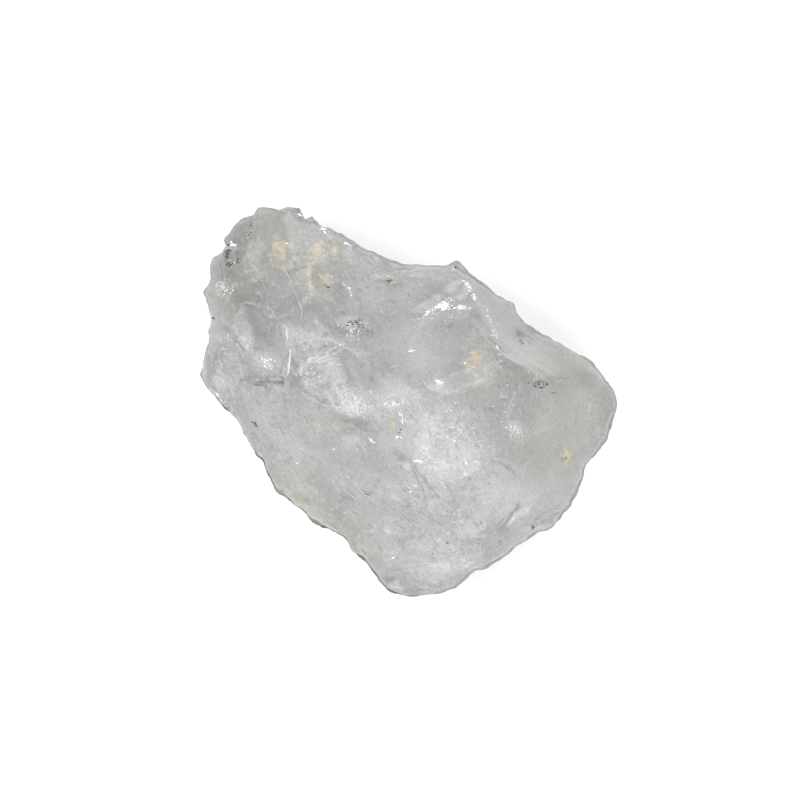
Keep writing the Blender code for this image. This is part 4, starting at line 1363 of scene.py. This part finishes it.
specks = crowd("specks", SPECKS, 0.45)
flakes = crowd("flakes", FLAKES, 0.35, (0.25, 0.6))
pale_strokes = crowd("pale_strokes", PALE_STROKES, 0.08, (0.10, 0.24), 16)
dark_strokes = crowd("dark_strokes", DARK_STROKES, 0.08, (0.10, 0.26), 18)

# %% [markdown]
# ## Their materials
#
# Crushed quartz and the edge of a healed crack are the same stone broken fine, so they scatter light and look
# white. The crushed flakes' near-white also stands as painted glints along the ridges. An open crack and the
# specks are dark, but never black: a little light still comes through the stone.

# %% Small materials
def small_material(name, dark, light, rough, clear):
    """A material mottled from one colour to the other by noise, and a little rougher here and there."""
    made, shader, _ = new_material(name)
    place = object_place()
    colour = mix_colour(grain(place, 0.35, 3.0), (*dark, 1), (*light, 1))
    uneven = plus(times(grain(place, 0.2, 2.0), 0.3), rough)
    wire(shader, Base_Color=colour, Roughness=uneven, Transmission_Weight=clear, IOR=QUARTZ_IOR)
    return made


vein_grey = small_material("grey_vein", (0.15, 0.155, 0.14), (0.34, 0.34, 0.32), 0.4, 0.1)
for thing, look in (
    (threads, small_material("healed_crack", (0.44, 0.44, 0.42), (0.76, 0.76, 0.74), 0.25, 0.2)),
    (cracks, small_material("open_crack", (0.10, 0.10, 0.095), (0.24, 0.24, 0.23), 0.3, 0.2)),
    (veins, vein_grey),
    (specks, small_material("dark_speck", (0.015, 0.015, 0.014), (0.10, 0.09, 0.08), 0.3, 0.0)),
    # Crushed quartz, its near-white also a painted glint.
    (flakes, small_material("crushed_quartz_and_painted_glints", (0.80, 0.81, 0.82), (0.98, 0.98, 0.98), 0.15, 0.0)),
    (pale_strokes, small_material("pale_stroke", (0.50, 0.50, 0.50), (0.70, 0.70, 0.71), 0.3, 0.1)),
    (dark_strokes, vein_grey),
):
    thing.data.materials.append(look)
    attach(thing, "root")

# %% [markdown]
# ## Floor, light and camera
#
# The lump lies on a plain pale floor under soft studio light, and the camera looks straight down at it.

# %% Floor
FLOOR_HALF, FLOOR_DROP = 1.5, 0.00005  # m; the drop keeps it clear of the base face
corners = [(x * FLOOR_HALF, y * FLOOR_HALF, 0) for x, y in ((-1, -1), (1, -1), (1, 1), (-1, 1))]
floor_mesh = bpy.data.meshes.new("floor")
floor_mesh.from_pydata(corners, [], [(0, 1, 2, 3)])
floor = bpy.data.objects.new("floor", floor_mesh)
floor.location.z = -FLOOR_DROP
bpy.context.scene.collection.objects.link(floor)
paper, paper_shader, _ = new_material("floor")
wire(paper_shader, Base_Color=(0.90, 0.90, 0.90, 1), Roughness=0.9)
floor_mesh.materials.append(paper)

# %% [markdown]
# Wide soft lamps stand in for a studio's light boxes. The strongest two stand below and above on the sketch,
# and a weaker one to the left models the west faces. The world fills the shadows.

# %% Lights
WORLD_GREY, WORLD_STRENGTH = (0.82, 0.82, 0.82, 1), 0.60


def light(name, bearing, lean, distance, size, power):
    """A soft square lamp at that bearing on the sketch and lean up from level, turned to the lump."""
    lamp = bpy.data.lights.new(name, "AREA")
    lamp.shape, lamp.size, lamp.energy = "SQUARE", size, power
    made = bpy.data.objects.new(name, lamp)
    away = TURNED @ facing(bearing, lean)
    made.location = away * distance
    made.rotation_euler = Vector(-away).to_track_quat("-Z", "Y").to_euler()
    bpy.context.scene.collection.objects.link(made)


light("key", -95, 50, 0.9, 0.8, 8.0)
light("fill", 75, 55, 1.0, 0.9, 9.0)
light("left", 175, 50, 1.0, 0.5, 3.5)
world = bpy.data.worlds.new("studio")
world.use_nodes = True
wire(world.node_tree.nodes["Background"], Color=WORLD_GREY, Strength=WORLD_STRENGTH)
bpy.context.scene.world = world
bpy.context.scene.view_settings.view_transform = "Standard"

# %% [markdown]
# A very long lens from far off keeps the outline as it is on the sketch. The camera is turned with the
# sketch, so that the sketch's up is the picture's up.

# %% Camera
FIELD = 100.0 * MM  # how wide the camera sees, at the height of the rim
LENS, SENSOR = 400.0, 36.0  # mm
camera_data = bpy.data.cameras.new("camera")
camera_data.lens, camera_data.sensor_width = LENS, SENSOR
camera_data.clip_start, camera_data.clip_end = 0.01, 10.0
camera = bpy.data.objects.new("camera", camera_data)
camera.location = to_frame((0, 0, 8.0)) + np.array([0, 0, FIELD * LENS / SENSOR])
camera.rotation_euler = (0, 0, TURN)
bpy.context.scene.collection.objects.link(camera)
bpy.context.scene.camera = camera
